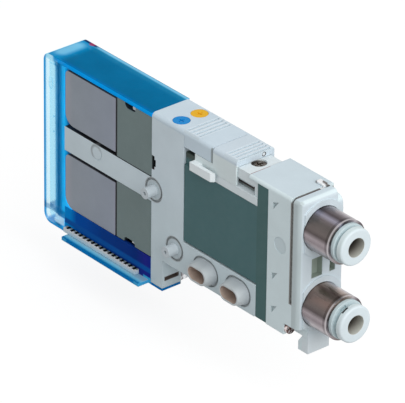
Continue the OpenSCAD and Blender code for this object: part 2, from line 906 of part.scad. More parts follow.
// Lock slide: ribbed thumb plate, thin near wall, and the hook for the next station
module lock_slide() at_rail() color("gainsboro") {
    wall_y1 = slide_y + slide_wall;
    end_r = 0.4;
    root_l = 2.4;
    difference() {
        union() {
            plate(slide_x, slide_x1)
                outline([slide_y, slide_base], [station_w, z_top], [0, 0, edge_r, top_r]);
            slab(slide_y, wall_y1) outline([slide_x, slide_low], [slide_x1 - 0.1, z_top - top_r]);
            slab(slide_y, wall_y1) {
                outline([tongue_x, slide_low], [slide_x + e, z_top - lid_skirt - 0.1]);
                outline([tongue_x, hook_z], [tongue_x + root_l, slide_low + e]);
            }
            block([slide_x, tray_y1 + 0.1, slide_base - 1], [slide_x1, station_w, slide_base + e]);
            block([key_x, key_y, slide_base - key_h], [key_x + key_l, key_y + key_w, slide_base + e]);
            station_hook();
        }
        for (i = [0:3]) grip_groove(slide_x1 - 3.55 + i * 1.05);
        bar_x(
            slide_x1 - slide_pin_l - 0.2, slide_x1 + e,
            slide_pin_y, slide_pin_z, slide_pin_r + slip
        );
        slab(slide_y - e, station_w + e) corner_cut([slide_x1, z_top], -1, -1, end_r);
    }
}

slide_pin_y = station_w - 2.7;
slide_pin_z = z_top - 0.83;
slide_pin_r = 0.5;
slide_pin_l = 1.4;
key_x = slide_x + 1.4;

// Hook that reaches past the near face and points along +X
module station_hook() {
    root_l = 2.4;
    low = hook_z;
    high = hook_z + hook_h;
    tip = 0.6;
    block([tongue_x, -hook_reach, low], [tongue_x + root_l, slide_y + e, high]);
    translate([0, 0, low]) linear_extrude(height = hook_h) polygon([
        [tongue_x + tip, -hook_reach],
        [tongue_x + hook_l - tip, -hook_reach],
        [tongue_x + hook_l, -hook_reach + tip],
        [tongue_x + hook_l, -hook_reach + hook_bar],
        [tongue_x + tip, -hook_reach + hook_bar]
    ]);
}

// Round pin in the slide's end face
module slide_pin() at_rail() color("whitesmoke") {
    x1 = slide_x1 - 0.1;
    bar_x(x1 - slide_pin_l, x1, slide_pin_y, slide_pin_z, slide_pin_r);
}

// Guide for the slide: a plate with a window in front, and a tray on the valve body
module lock_guide() at_rail() color("lightsteelblue") {
    guide_y1 = guide_y + guide_t;
    win_x = slide_x1 - 1;
    win_x1 = x_strip - guide_win_end;
    win_z = slide_low - 0.05;
    win_z1 = win_z + guide_win_h;
    rail_x0 = guide_x - 1;
    head_r = screw_head_r + 0.05;
    difference() {
        union() {
            slab(guide_y, guide_y1) outline([guide_x, guide_low], [x_strip, tray_top]);
            block([rail_x0, slide_y + 0.05, guide_low], [x_strip, guide_y1, slide_low - 0.05]);
            block([guide_x, guide_y, tray_z], [pocket_x1, tray_y1, tray_top]);
        }
        block([win_x, guide_y - e, win_z], [win_x1, guide_y1 + e, win_z1]);
        block(
            [pocket_x1, guide_y - e, z_block - lip_t - 0.05],
            [x_strip + e, guide_y1 + e, z_block]
        );
        block(
            [key_x - fit, key_y - slip, tray_top - key_h],
            [key_x + key_l + slide_travel + fit, key_y + key_w + slip, tray_top + e]
        );
        bar_z(screw_x, y_mid, tray_z - e, tray_top + e, 1.1);
        bar_z(screw_x, y_mid, tray_top - screw_head_t - screw_sunk, tray_top + e, head_r);
    }
}

lip_t = 0.85;

// Pan-head screw with a cross recess
module pan_screw(head_r, head_t, shank_r, shank_l) {
    slot_l = head_r * 1.2;
    slot_w = head_r * 0.3;
    difference() {
        union() {
            cylinder(h = head_t, r = head_r);
            translate([0, 0, -shank_l]) cylinder(h = shank_l + e, r = shank_r);
        }
        translate([0, 0, head_t]) {
            cube([slot_l, slot_w, head_t], center = true);
            cube([slot_w, slot_l, head_t], center = true);
        }
    }
}

module guide_screw() at_rail() color("saddlebrown") {
    translate([screw_x, y_mid, tray_top - screw_head_t - screw_sunk])
        pan_screw(screw_head_r, screw_head_t, 1, 3.6);
}

// Gasket between the gallery bar and the valve body
module base_gasket() at_rail() color("black") {
    margin = 0.7;
    difference() {
        block([body_x + margin, body_y + 0.3, z_bar], [x_strip - margin, body_y1 - 0.3, body_z]);
        for (i = [0, 1]) bar_z(nozzle_x + i * nozzle_pitch, y_mid, z_bar - e, body_z + e, 1);
    }
}

// Dark green valve body with the spool bore and its air channels
module valve_body() at_rail() color("darkslategray") {
    difference() {
        union() {
            block([body_x, face_y, body_z], [x_strip + 0.1, body_y1, body_top]);
            block(
                [x_strip + 0.1 - e, face_y, z_seat + 0.1],
                [body_x1, block_w - 0.3, z_block - lip_t - 0.05]
            );
        }
        block([body_x - e, -e, guide_low - fit], [x_strip + 0.1, body_y, z_block]);
        block(
            [guide_x - 1 - fit, -e, guide_low - fit],
            [x_strip + 0.1, guide_y + guide_t + fit, z_block]
        );
        bar_x(body_x - e, body_x1 + e, valve_cy, spool_z, spool_bore);
        bar_x(body_x - e, spool_x + spool_stroke + 0.2, valve_cy, spool_z, piston_bore);
        bar_x(spool_x1 - 0.2, body_x1 + e, valve_cy, spool_z, piston_bore);
        air_channels();
        bar_z(screw_x, y_mid, tray_top - screw_head_t - screw_sunk - 3.8, body_top + e, 1.02);
        screw_holes();
    }
}

// Drillings: up from the galleries, and out to the two port heights
module air_channels() {
    r = 0.75;
    feed_x = nozzle_x;
    vent_x = nozzle_x + nozzle_pitch;
    out_a_x = land_x + 2 * land_pitch - 0.8;
    out_b_x = land_x + 3 * land_pitch - 0.8;
    bar_z(feed_x, y_mid, body_z - e, spool_z, r);
    bar_z(vent_x, y_mid, body_z - e, spool_z, r);
    bar_z(out_a_x, y_mid, spool_z, fitting_top_z, r);
    bar_x(out_a_x - r, body_x1 + e, y_mid, fitting_top_z, r);
    bar_z(out_b_x, y_mid, body_z + 2.6, spool_z, r);
    bar_x(out_b_x - r, x_strip + 1.6, y_mid + 2.6, body_z + 3.4, r);
    bar_y(out_b_x, y_mid, y_mid + 2.6, body_z + 3.4, r);
    bar_z(x_strip + 1.6, y_mid + 2.6, fitting_low_z, body_z + 3.4, r);
    bar_y(x_strip + 1.6, y_mid, y_mid + 2.6, fitting_low_z, r);
    bar_x(x_strip + 1.6, body_x1 + e, y_mid, fitting_low_z, r);
}

module screw_holes() {
    for (p = block_screw_at) bar_x(x_strip + 0.6, body_x1 + e, p[0], p[1], 0.72);
}

screw_seat = x_slit - 1.4;
block_screw_at = [[1.35, z_seat + 1.25], [block_w - 1.35, z_seat + 1.25]];

// Spool with five lands, turned from one bar
module spool() at_rail() color("silver") {
    bar_x(spool_x, spool_x1, valve_cy, spool_z, neck_r);
    for (i = [0:lands - 1]) {
        x = land_x + i * land_pitch;
        bar_x(x, x + land_l, valve_cy, spool_z, spool_r);
    }
}

// Pistons at both ends of the spool, each grooved for its seal
module piston(x0, x1) at_rail() color("dimgray") {
    groove = 0.35;
    mid = (x0 + x1) / 2;
    difference() {
        bar_x(x0, x1, valve_cy, spool_z, piston_r);
        difference() {
            bar_x(mid - 0.6, mid + 0.6, valve_cy, spool_z, piston_r + e);
            bar_x(mid - 0.7, mid + 0.7, valve_cy, spool_z, piston_r - groove);
        }
    }
}

module piston_a() piston(piston_a_x, spool_x);

module piston_b() piston(spool_x1, piston_b_x1);

// Light grey port block: a slit for the clip, screw corners, and a foot with the rail nose
module port_block() at_rail() color("lightsteelblue") {
    difference() {
        union() {
            plate(x_block, x_face) outline([0, z_seat], [block_w, z_block], [0, 0, 0.5, 0.8]);
            plate(pocket_x1 + 0.1, x_block + e)
                outline([0, z_block - lip_t], [block_w, z_block], [0, 0, 0.5, 0.8]);
            for (z = [fitting_top_z, fitting_low_z]) fitting_ring(z);
            block_foot();
        }
        for (z = [fitting_top_z, fitting_low_z]) {
            bar_x(cartridge_x - 0.1, x_face + ring_t + e, fit_y, z, cartridge_r + slip);
            bar_x(x_face, x_face + ring_t + e, fit_y, z, sleeve_r + fit);
            bar_x(x_block - e, cartridge_x, fit_y, z, 1.6);
        }
        block_dimples();
        block_gate();
        clip_slit();
        screw_corners();
        block_pocket();
        translate([0, 0, z_seat - 5]) linear_extrude(height = z_block)
            corner_cut([x_face, 0], -1, 1, front_r);
        slab(-e, block_w + e) corner_cut([x_face, z_block], -1, -1, front_r);
        for (p = block_screw_at) bar_x(x_block - e, screw_seat + e, p[0], p[1], 0.8);
    }
}

ring_t = 0.3;
ring_r = 6.2;
front_r = 1.1;

// Low ring round a fitting, cut off at the block's sides
module fitting_ring(z) {
    plate(x_face - e, x_face + ring_t) intersection() {
        translate([fit_y, z]) circle(ring_r);
        translate([front_r, z - ring_r]) square([block_w - front_r - 0.2, 2 * ring_r]);
    }
}

// Ramped dimples down the near face
module block_dimples() {
    depth = 0.5;
    size = 1.8;
    for (z = [z_block - 3.7, z_seat + 12, z_seat + 4.3])
        translate([x_block + 1.4, 0, z]) slab(-e, depth)
            polygon([[0, 0.3 * size], [size, 0.65 * size], [0.13 * size, -0.5 * size]]);
}

module block_gate() {
    depth = 0.12;
    slab(-e, depth) translate([x_block + 3.85, z_seat + 19.9]) circle(1.8);
}

// Slit for the clip: down both sides and over the top, past the cartridges' grooves
module clip_slit() {
    low = fitting_low_z + 0.7;
    depth = fit_y - groove_r + 0.05;
    block([x_slit, -e, low], [x_plate, depth, z_block + e]);
    block([x_slit, block_w - depth, low], [x_plate, block_w + e, z_block + e]);
    block([x_slit, -e, clip_bridge_z - 0.1], [x_plate, block_w + e, z_block + e]);
}

clip_bridge_z = fitting_top_z + cartridge_r + 1.1;
clip_tab_l = 2.1;

// Lower corners cut away in front of the screws, and the open corner above the clip
module screw_corners() {
    near_w = 2.7;
    for (y = [-e, block_w - near_w])
        block([screw_seat, y, z_seat - e], [x_face + ring_t + e, y + near_w + e, z_seat + 2.6]);
    block([x_plate, y_far + 0.6, z_block - 1.9], [x_face + e, block_w + e, z_block + e]);
    slab(y_far + 0.6, block_w + e) corner_cut([x_face, z_block - 1.9], -1, -1, 1.6);
}

// Pocket between the fittings, split by a rib
module block_pocket() {
    depth = 1.6;
    low = fitting_low_z + 6.5;
    high = fitting_top_z - 6.5;
    block([x_face - depth, 3.3, low], [x_face + e, 6.2, high]);
    block([x_face - depth, 8.1, low], [x_face + e, 9.6, high]);
}

module block_foot() {
    foot_x = x_plate - 0.8;
    foot_y = 2.8;
    foot_y1 = 8.5;
    foot_low = 3.5;
    nose_y = 5.8;
    nose_h = 1.2;
    nose_top = z_seat - rail_t - 0.1;
    nose_x = rail_x + rail_w / 2 - 0.5;
    slab(foot_y, foot_y1) polygon([
        [foot_x, foot_low],
        [x_face, foot_low],
        [x_face, z_seat + 1],
        [foot_x + 1.3, z_seat + 1],
        [foot_x + 1.3, z_seat],
        [foot_x, z_seat - 1.8]
    ]);
    block([nose_x, nose_y, nose_top - nose_h], [foot_x + e, foot_y1, nose_top - 0.05]);
}

// Two screws that hold the port block on the valve body
module block_screws() at_rail() color("silver") {
    head_r = 1.25;
    head_t = 0.75;
    for (p = block_screw_at) translate([screw_seat, p[0], p[1]]) rotate([0, 90, 0])
        pan_screw(head_r, head_t, 0.7, screw_seat - x_strip - 0.7);
}

// Steel clip in the slit: two legs beside the cartridges, joined over the top
module retaining_clip() at_rail() color("silver") {
    t = slit_w - 0.2;
    x0 = x_slit + 0.1;
    side = 0.4;
    far_side = y_far + 0.75;
    leg_z = fitting_low_z + 0.9;
    proud = 0.45;
    sunk = 0.12;
    leg_y = fit_y - groove_r - slip;
    leg_y1 = fit_y + groove_r + slip;
    tab_y = y_far - 1;
    difference() {
        plate(x0, x0 + t) {
            outline([side, leg_z], [far_side, z_block - sunk], [0.3, 0.3, 1, 1.2]);
            outline([tab_y, clip_bridge_z], [far_side, z_block + proud], [0, 0, 1.2, 0.3]);
        }
        block([x0 - e, leg_y, leg_z - e], [x0 + t + e, leg_y1, clip_bridge_z]);
    }
    block([x0 - clip_tab_l, tab_y, z_block + slip], [x0 + e, tab_y + 1.3, z_block + proud]);
}

// Nickel-plated cartridge: sleeve outside the plate, neck through plate and block
module fitting_body(z) at_rail() color("rosybrown") {
    difference() {
        union() {
            bar_x(sleeve_x, sleeve_x1, fit_y, z, sleeve_r);
            bar_x(cartridge_x, sleeve_x + e, fit_y, z, cartridge_r);
        }
        ring_cut(neck_x, neck_x + o_ring_w, z, o_ring_in);
        ring_cut(x_slit - 0.05, x_plate + 0.05, z, groove_r);
        bar_x(cartridge_x - e, tube_stop_x, fit_y, z, 1.4);
        bar_x(tube_seat_x, chamber_x, fit_y, z, tube_r);
        bar_x(chamber_x - e, sleeve_x1 + e, fit_y, z, chamber_r);
    }
}

// Groove round the cartridge down to radius r
module ring_cut(x0, x1, z, r) {
    difference() {
        bar_x(x0, x1, fit_y, z, cartridge_r + e);
        bar_x(x0 - e, x1 + e, fit_y, z, r);
    }
}

module fitting_body_a() fitting_body(fitting_top_z);

module fitting_body_b() fitting_body(fitting_low_z);

module fitting_o_rings() at_rail() color("black") {
    wire_r = (cartridge_r - o_ring_in) / 2;
    for (z = [fitting_top_z, fitting_low_z])
        translate([neck_x + o_ring_w / 2, fit_y, z]) rotate([0, 90, 0])
            rotate_extrude() translate([o_ring_in + wire_r, 0]) circle(wire_r);
}

// Lip seal round the tube
module tube_seal(z) at_rail() color("black") {
    translate([chamber_x, fit_y, z]) rotate([0, 90, 0]) rotate_extrude() polygon([
        [tube_r + 0.05, 0],
        [chamber_r - slip, 0],
        [chamber_r - slip, seal_l],
        [tube_r + 0.7, seal_l],
        [tube_r + 0.05, seal_l * 0.6]
    ]);
}

module tube_seal_a() tube_seal(fitting_top_z);

module tube_seal_b() tube_seal(fitting_low_z);

// Steel collet with slit fingers that lean on the tube
module collet(z) at_rail() color("silver") {
    fingers = 8;
    t = 0.3;
    x0 = chamber_x + seal_l + slip;
    difference() {
        translate([x0, fit_y, z]) rotate([0, 90, 0]) rotate_extrude() polygon([
            [chamber_r - t - slip, 0],
            [chamber_r - slip, 0],
            [chamber_r - slip, collet_l],
            [chamber_r - slip - t, collet_l],
            [chamber_r - slip - t, t],
            [tube_r + 0.1 + t, collet_l - t],
            [tube_r + 0.1, collet_l - t]
        ]);
        for (i = [0:fingers / 2 - 1])
            translate([x0 + 0.35, fit_y, z]) rotate([i * 360 / fingers, 0, 0])
                translate([0, -t / 2, -chamber_r + t + 2 * slip])
                    cube([collet_l, t, 2 * (chamber_r - t - 2 * slip)]);
    }
}

module collet_a() collet(fitting_top_z);

module collet_b() collet(fitting_low_z);

// White guide ring at the sleeve's mouth, with its lip outside the sleeve
module fitting_guide(z, turn) at_rail() color("aliceblue") {
    x0 = chamber_x + seal_l + collet_l + 3 * slip;
    lip_x = sleeve_x1 + slip;
    slot_w = 1.7;
    slot_x = 0.35;
    difference() {
        union() {
            bar_x(x0, lip_x + e, fit_y, z, chamber_r - slip);
            bar_x(lip_x, guide_end, fit_y, z, guide_ring_r);
        }
        bar_x(x0 - e, guide_end + e, fit_y, z, stem_out + slip);
        translate([guide_end - slot_x, fit_y, z]) rotate([turn, 0, 0])
            translate([0, -slot_w / 2, stem_out + 0.15]) cube([slot_x + e, slot_w, 0.8]);
    }
}

module fitting_guide_a() fitting_guide(fitting_top_z, 180);

module fitting_guide_b() fitting_guide(fitting_low_z, 22);

// Release button: a collar outside, a stem inside the guide
module release_button(z, out) at_rail() color("lightcyan") {
    round_r = 0.5;
    translate([out, fit_y, z]) rotate([0, 90, 0]) rotate_extrude() {
        translate([tube_r, release_in]) square([stem_out - tube_r, release_x1 - release_in]);
        outline([stem_out - e, release_x], [release_r, release_x1], [0, 0, round_r, 0]);
    }
}

module release_button_a() release_button(fitting_top_z, 0);

module release_button_b() release_button(fitting_low_z, low_button_out);

pilot_cover();
connector_base();
contact_carrier();
contact_pins();
circuit_board();
indicator_lamps();
solenoid_can_a();
solenoid_can_b();
bobbin_a();
bobbin_b();
winding_a();
winding_b();
fixed_core_a();
fixed_core_b();
armature_a();
armature_b();
armature_spring_a();
armature_spring_b();
pilot_body_a();
pilot_body_b();
lead_clips();
manifold_frame();
rail_leaf();
nozzle_seals();
top_cover();
override_button_a();
override_button_b();
override_spring_a();
override_spring_b();
lock_slide();
slide_pin();
lock_guide();
guide_screw();
base_gasket();
valve_body();
spool();
piston_a();
piston_b();
port_block();
block_screws();
retaining_clip();
fitting_body_a();
fitting_body_b();
fitting_o_rings();
tube_seal_a();
tube_seal_b();
collet_a();
collet_b();
fitting_guide_a();
fitting_guide_b();
release_button_a();
release_button_b();
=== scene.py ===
"""Looks for one station of a solenoid valve manifold: camera, light, floor and materials."""
import math

import bpy
from mathutils import Matrix, Vector


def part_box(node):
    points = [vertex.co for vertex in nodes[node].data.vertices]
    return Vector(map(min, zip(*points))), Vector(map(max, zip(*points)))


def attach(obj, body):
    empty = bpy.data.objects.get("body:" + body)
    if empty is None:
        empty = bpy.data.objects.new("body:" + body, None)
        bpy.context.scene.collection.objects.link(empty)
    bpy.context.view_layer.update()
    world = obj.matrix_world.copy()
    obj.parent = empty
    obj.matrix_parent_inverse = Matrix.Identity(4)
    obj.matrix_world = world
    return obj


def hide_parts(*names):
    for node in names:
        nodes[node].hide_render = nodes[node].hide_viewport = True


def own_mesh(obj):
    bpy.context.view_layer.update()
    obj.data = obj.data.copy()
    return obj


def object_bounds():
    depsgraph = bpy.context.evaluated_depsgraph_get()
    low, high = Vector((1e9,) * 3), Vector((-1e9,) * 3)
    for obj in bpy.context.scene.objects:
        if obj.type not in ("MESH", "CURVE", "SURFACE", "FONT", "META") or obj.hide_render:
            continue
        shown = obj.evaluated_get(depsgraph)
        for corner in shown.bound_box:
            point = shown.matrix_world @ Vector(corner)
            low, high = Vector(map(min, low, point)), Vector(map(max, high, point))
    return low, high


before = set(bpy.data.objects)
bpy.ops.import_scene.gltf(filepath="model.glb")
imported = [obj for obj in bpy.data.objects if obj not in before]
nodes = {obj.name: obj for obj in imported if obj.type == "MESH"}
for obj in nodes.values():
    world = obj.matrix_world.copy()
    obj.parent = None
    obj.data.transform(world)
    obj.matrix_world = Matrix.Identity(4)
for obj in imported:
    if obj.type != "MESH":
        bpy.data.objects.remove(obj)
cad_low, cad_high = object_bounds()

MM = 0.001
WHITE = (1.0, 1.0, 1.0, 1.0)
BLACK = (0.0, 0.0, 0.0, 1.0)

# The station's own lengths are in mm from this corner: along it, across it and up
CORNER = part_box("pilot_cover")[0]


def span(name):
    """A node's lowest and highest corner in the station's own lengths."""
    return [[(v - start) / MM for v, start in zip(corner, CORNER)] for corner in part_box(name)]


def middle(name):
    low, high = span(name)
    return [(a + b) / 2 for a, b in zip(low, high)]


def both(name):
    return [name + "_a", name + "_b"]


# Camera: solved from the photograph, in the part's frame
AZIMUTH, ELEVATION, ROLL = 49.74, 28.92, -0.77
FOCAL_IN_WIDTHS = 12.224
SENSOR = 36.0
CAMERA_AT = Vector((667.97, -575.38, 507.14)) * MM
CLIP = (0.05, 50)


def camera_axes():
    a, e, r = (math.radians(v) for v in (AZIMUTH, ELEVATION, ROLL))
    back = Vector((math.sin(a) * math.cos(e), -math.cos(a) * math.cos(e), math.sin(e)))
    right = Vector((math.cos(a), math.sin(a), 0))
    up = back.cross(right)
    return (right * math.cos(r) - up * math.sin(r), right * math.sin(r) + up * math.cos(r), back)


def place_camera():
    data = bpy.data.cameras.new("camera")
    camera = bpy.data.objects.new("camera", data)
    bpy.context.scene.collection.objects.link(camera)
    columns = Matrix(camera_axes()).transposed().to_4x4()
    camera.matrix_world = Matrix.Translation(CAMERA_AT) @ columns
    data.sensor_width = SENSOR
    data.lens = FOCAL_IN_WIDTHS * SENSOR
    data.clip_start, data.clip_end = CLIP
    bpy.context.scene.camera = camera
    bpy.context.scene.view_settings.view_transform = "Standard"


# Light: distances and sizes in metres
WORLD_LEVEL = 0.55
KEY = {"towards": (0.78, -0.12, 0.61), "distance": 0.62, "size": 0.60, "watts": 2.6}
FLOOR_DROP = 0.010
FLOOR_HALF = 4.0
FLOOR_GLOW = 0.84
FLOOR_GREY = 0.22
FLOOR_BOUNCE = 0.45
FLOOR_ROUGH = 0.9


def soft_light(name, towards, distance, size, watts):
    data = bpy.data.lights.new(name, "AREA")
    data.shape = "DISK"
    data.size = size
    data.energy = watts
    lamp = bpy.data.objects.new(name, data)
    bpy.context.scene.collection.objects.link(lamp)
    aim = Vector(towards).normalized()
    lamp.location = (cad_low + cad_high) / 2 + aim * distance
    lamp.rotation_mode = "QUATERNION"
    lamp.rotation_quaternion = aim.to_track_quat("Z", "Y")


def seen_ray(tree):
    """1 for what the lens, metal or glass sees, 0 for light that falls on surfaces."""
    path = tree.nodes.new("ShaderNodeLightPath")
    seen = path.outputs["Is Camera Ray"]
    for ray in ("Is Glossy Ray", "Is Transmission Ray"):
        seen = maths(tree, "MAXIMUM", seen, path.outputs[ray])
    return seen


def light_world():
    world = bpy.data.worlds.new("studio")
    world.use_nodes = True
    tree = world.node_tree
    background = tree.nodes["Background"]
    background.inputs["Color"].default_value = WHITE
    strength = spread(tree, seen_ray(tree), 0.0, 1.0, WORLD_LEVEL, 1.0)
    tree.links.new(strength, background.inputs["Strength"])
    bpy.context.scene.world = world


def lay_floor():
    """White to the lens, with the object's soft shadow; a mid grey as a reflector."""
    mesh = bpy.data.meshes.new("floor")
    z = cad_low.z - FLOOR_DROP
    corners = [(-1, -1), (1, -1), (1, 1), (-1, 1)]
    mesh.from_pydata([(x * FLOOR_HALF, y * FLOOR_HALF, z) for x, y in corners], [], [(0, 1, 2, 3)])
    floor = bpy.data.objects.new("floor", mesh)
    bpy.context.scene.collection.objects.link(floor)
    material, tree, shader = new_material("pale_floor")
    seen = seen_ray(tree)
    level = spread(tree, seen, 0.0, 1.0, FLOOR_BOUNCE, FLOOR_GREY)
    tree.links.new(blend(tree, level, BLACK, WHITE), shader.inputs["Base Color"])
    shader.inputs["Roughness"].default_value = FLOOR_ROUGH
    shader.inputs["Specular IOR Level"].default_value = 0.0
    shader.inputs["Emission Color"].default_value = WHITE
    glow = spread(tree, seen, 0.0, 1.0, 0.0, FLOOR_GLOW)
    tree.links.new(glow, shader.inputs["Emission Strength"])
    mesh.materials.append(material)


# Node helpers
def linear(rgb):
    """A colour written as 0 to 255 screen values, for a shader."""
    def one(v):
        v /= 255
        return v / 12.92 if v <= 0.04045 else ((v + 0.055) / 1.055) ** 2.4
    return tuple(one(v) for v in rgb) + (1.0,)


def new_material(name):
    material = bpy.data.materials.new(name)
    material.use_nodes = True
    tree = material.node_tree
    return material, tree, tree.nodes["Principled BSDF"]


def set_input(tree, socket, value):
    if isinstance(value, bpy.types.NodeSocket):
        tree.links.new(value, socket)
    else:
        socket.default_value = value


def maths(tree, operation, a, b=0.0, c=None):
    node = tree.nodes.new("ShaderNodeMath")
    node.operation = operation
    for socket, value in zip(node.inputs, (a, b, c)):
        if value is not None:
            set_input(tree, socket, value)
    return node.outputs[0]


def point(tree):
    """The point in the part's frame, in metres."""
    return tree.nodes.new("ShaderNodeTexCoord").outputs["Object"]


def station(tree):
    """The point in the station's own lengths."""
    split = tree.nodes.new("ShaderNodeSeparateXYZ")
    tree.links.new(point(tree), split.inputs[0])
    return [maths(tree, "MULTIPLY_ADD", split.outputs[i], 1 / MM, -CORNER[i] / MM) for i in range(3)]


def spread(tree, value, low, high, to_low=0.0, to_high=1.0, smooth=False):
    """Maps low..high of a value on to to_low..to_high."""
    node = tree.nodes.new("ShaderNodeMapRange")
    if smooth:
        node.interpolation_type = "SMOOTHSTEP"
    node.inputs["From Min"].default_value = low
    node.inputs["From Max"].default_value = high
    node.inputs["To Min"].default_value = to_low
    node.inputs["To Max"].default_value = to_high
    set_input(tree, node.inputs["Value"], value)
    return node.outputs["Result"]


def above(tree, value, edge, soft=0.1):
    """A mask: 1 above the edge and 0 below it, changing over the width soft."""
    return spread(tree, value, edge - soft / 2, edge + soft / 2, 0.0, 1.0, True)


def below(tree, value, edge, soft=0.1):
    return spread(tree, value, edge - soft / 2, edge + soft / 2, 1.0, 0.0, True)


def all_of(tree, *masks):
    out = masks[0]
    for mask in masks[1:]:
        out = maths(tree, "MULTIPLY", out, mask)
    return out


def any_of(tree, *masks):
    out = masks[0]
    for mask in masks[1:]:
        out = maths(tree, "MAXIMUM", out, mask)
    return out


def between(tree, value, low, high, soft=0.1):
    return all_of(tree, above(tree, value, low, soft), below(tree, value, high, soft))


def part_of(tree, mask, amount):
    return maths(tree, "MULTIPLY", mask, amount)


def reach(tree, a, b, a0, b0, half=0.0):
    """Distance from a point, or from a short line along the first axis."""
    da = maths(tree, "ABSOLUTE", maths(tree, "SUBTRACT", a, a0))
    da = maths(tree, "MAXIMUM", maths(tree, "SUBTRACT", da, half), 0.0)
    db = maths(tree, "SUBTRACT", b, b0)
    squares = maths(tree, "ADD", maths(tree, "MULTIPLY", da, da), maths(tree, "MULTIPLY", db, db))
    return maths(tree, "SQRT", squares)


def blend(tree, factor, a, b):
    """A colour between a and b; each is a colour or a socket."""
    node = tree.nodes.new("ShaderNodeMix")
    node.data_type = "RGBA"
    set_input(tree, node.inputs[0], factor)
    set_input(tree, node.inputs[6], a)
    set_input(tree, node.inputs[7], b)
    return node.outputs[2]


def paint(tree, base, mask, rgb, amount=1.0):
    """The base colour, with a plain one laid over it where the mask is 1."""
    if amount < 1.0:
        mask = part_of(tree, mask, amount)
    return blend(tree, mask, base, linear(rgb))


def scaled(tree, colour, factor):
    """A colour made darker or lighter by a factor."""
    node = tree.nodes.new("ShaderNodeVectorMath")
    node.operation = "SCALE"
    set_input(tree, node.inputs[0], colour if isinstance(colour, bpy.types.NodeSocket) else colour[:3])
    set_input(tree, node.inputs["Scale"], factor)
    return node.outputs[0]


def ramp(tree, value, *stops):
    """Colours along a value, from the lowest stop to the highest."""
    low, high = stops[0][0], stops[-1][0]
    node = tree.nodes.new("ShaderNodeValToRGB")
    elements = node.color_ramp.elements
    elements[0].color = linear(stops[0][1])
    elements[1].color = linear(stops[-1][1])
    for place, rgb in stops[1:-1]:
        elements.new((place - low) / (high - low)).color = linear(rgb)
    tree.links.new(spread(tree, value, low, high), node.inputs[0])
    return node.outputs[0]


def noise(tree, scale, detail=3.0, rough=0.5, stretch=None):
    node = tree.nodes.new("ShaderNodeTexNoise")
    node.inputs["Scale"].default_value = scale
    node.inputs["Detail"].default_value = detail
    node.inputs["Roughness"].default_value = rough
    place = point(tree)
    if stretch:
        mapping = tree.nodes.new("ShaderNodeMapping")
        mapping.inputs["Scale"].default_value = stretch
        tree.links.new(place, mapping.inputs["Vector"])
        place = mapping.outputs["Vector"]
    tree.links.new(place, node.inputs["Vector"])
    return node.outputs["Fac"]


NOISE_RANGE = (0.3, 0.7)


def vary(tree, value, low, high):
    """Maps the usual range of a noise on to low..high."""
    return spread(tree, value, *NOISE_RANGE, low, high)


# How far two normals agree on a flat face and on an edge
FLAT_FACE, FULL_EDGE = 0.998, 0.8
BEVEL_SAMPLES = 6


def soft_edges(tree, radius):
    """The normal of the same surface with its edges rounded, and how much an edge it is."""
    bevel = tree.nodes.new("ShaderNodeBevel")
    bevel.samples = BEVEL_SAMPLES
    bevel.inputs["Radius"].default_value = radius
    geometry = tree.nodes.new("ShaderNodeNewGeometry")
    dot = tree.nodes.new("ShaderNodeVectorMath")
    dot.operation = "DOT_PRODUCT"
    tree.links.new(bevel.outputs["Normal"], dot.inputs[0])
    tree.links.new(geometry.outputs["True Normal"], dot.inputs[1])
    return bevel.outputs["Normal"], spread(tree, dot.outputs["Value"], FLAT_FACE, FULL_EDGE)


def bump(tree, shader, height, distance, normal):
    node = tree.nodes.new("ShaderNodeBump")
    node.inputs["Strength"].default_value = 1.0
    node.inputs["Distance"].default_value = distance
    tree.links.new(height, node.inputs["Height"])
    tree.links.new(normal, node.inputs["Normal"])
    tree.links.new(node.outputs["Normal"], shader.inputs["Normal"])


# Materials: noise scales per metre; edge radii and texture heights in mm
FLOW, POLISH, SPARK = 140, 900, 7000
PLASTIC_EDGE, SPARK_HEIGHT = 0.16, 0.004
STAIN, STAIN_SCALE = 0.08, 500
METAL_EDGE, LINE_HEIGHT = 0.08, 0.001
CLEAR_FLOW, CLEAR_WAVE = 160, 500
CLEAR_EDGE, CLEAR_HEIGHT = 0.2, 0.002
CLEAR_ROUGH = 0.12
CLEAR_SPECULAR = 0.006
CLEAR_SHINE = (0.1, 0.6, 1.0, 1.0)
GLINTS, REFLECTION_SPOTS = 560, 1100


def plastic(name, colour, rough=0.45, specular=0.3, edge_highlight=1.1, mottle=0.035):
    """Moulded plastic: fine spark texture, faint flow marks, softened edges with a painted highlight
    along them.

    The colour is a plain one, or a function that builds it from the material's nodes.
    """
    material, tree, shader = new_material(name)
    base = colour(tree) if callable(colour) else linear(colour)
    flow = vary(tree, noise(tree, FLOW, 3, 0.55), 1 - mottle, 1 + mottle)
    normal, edge = soft_edges(tree, PLASTIC_EDGE * MM)
    # The edges are painted lighter: a painted highlight along them.
    edge_light = spread(tree, edge, 0.0, 1.0, 1.0, edge_highlight)
    base = scaled(tree, base, maths(tree, "MULTIPLY", flow, edge_light))
    tree.links.new(base, shader.inputs["Base Color"])
    shader.inputs["Specular IOR Level"].default_value = specular
    roughness = vary(tree, noise(tree, POLISH, 2), rough - 0.05, rough + 0.06)
    tree.links.new(roughness, shader.inputs["Roughness"])
    bump(tree, shader, noise(tree, SPARK, 2, 0.6), SPARK_HEIGHT * MM, normal)
    return material


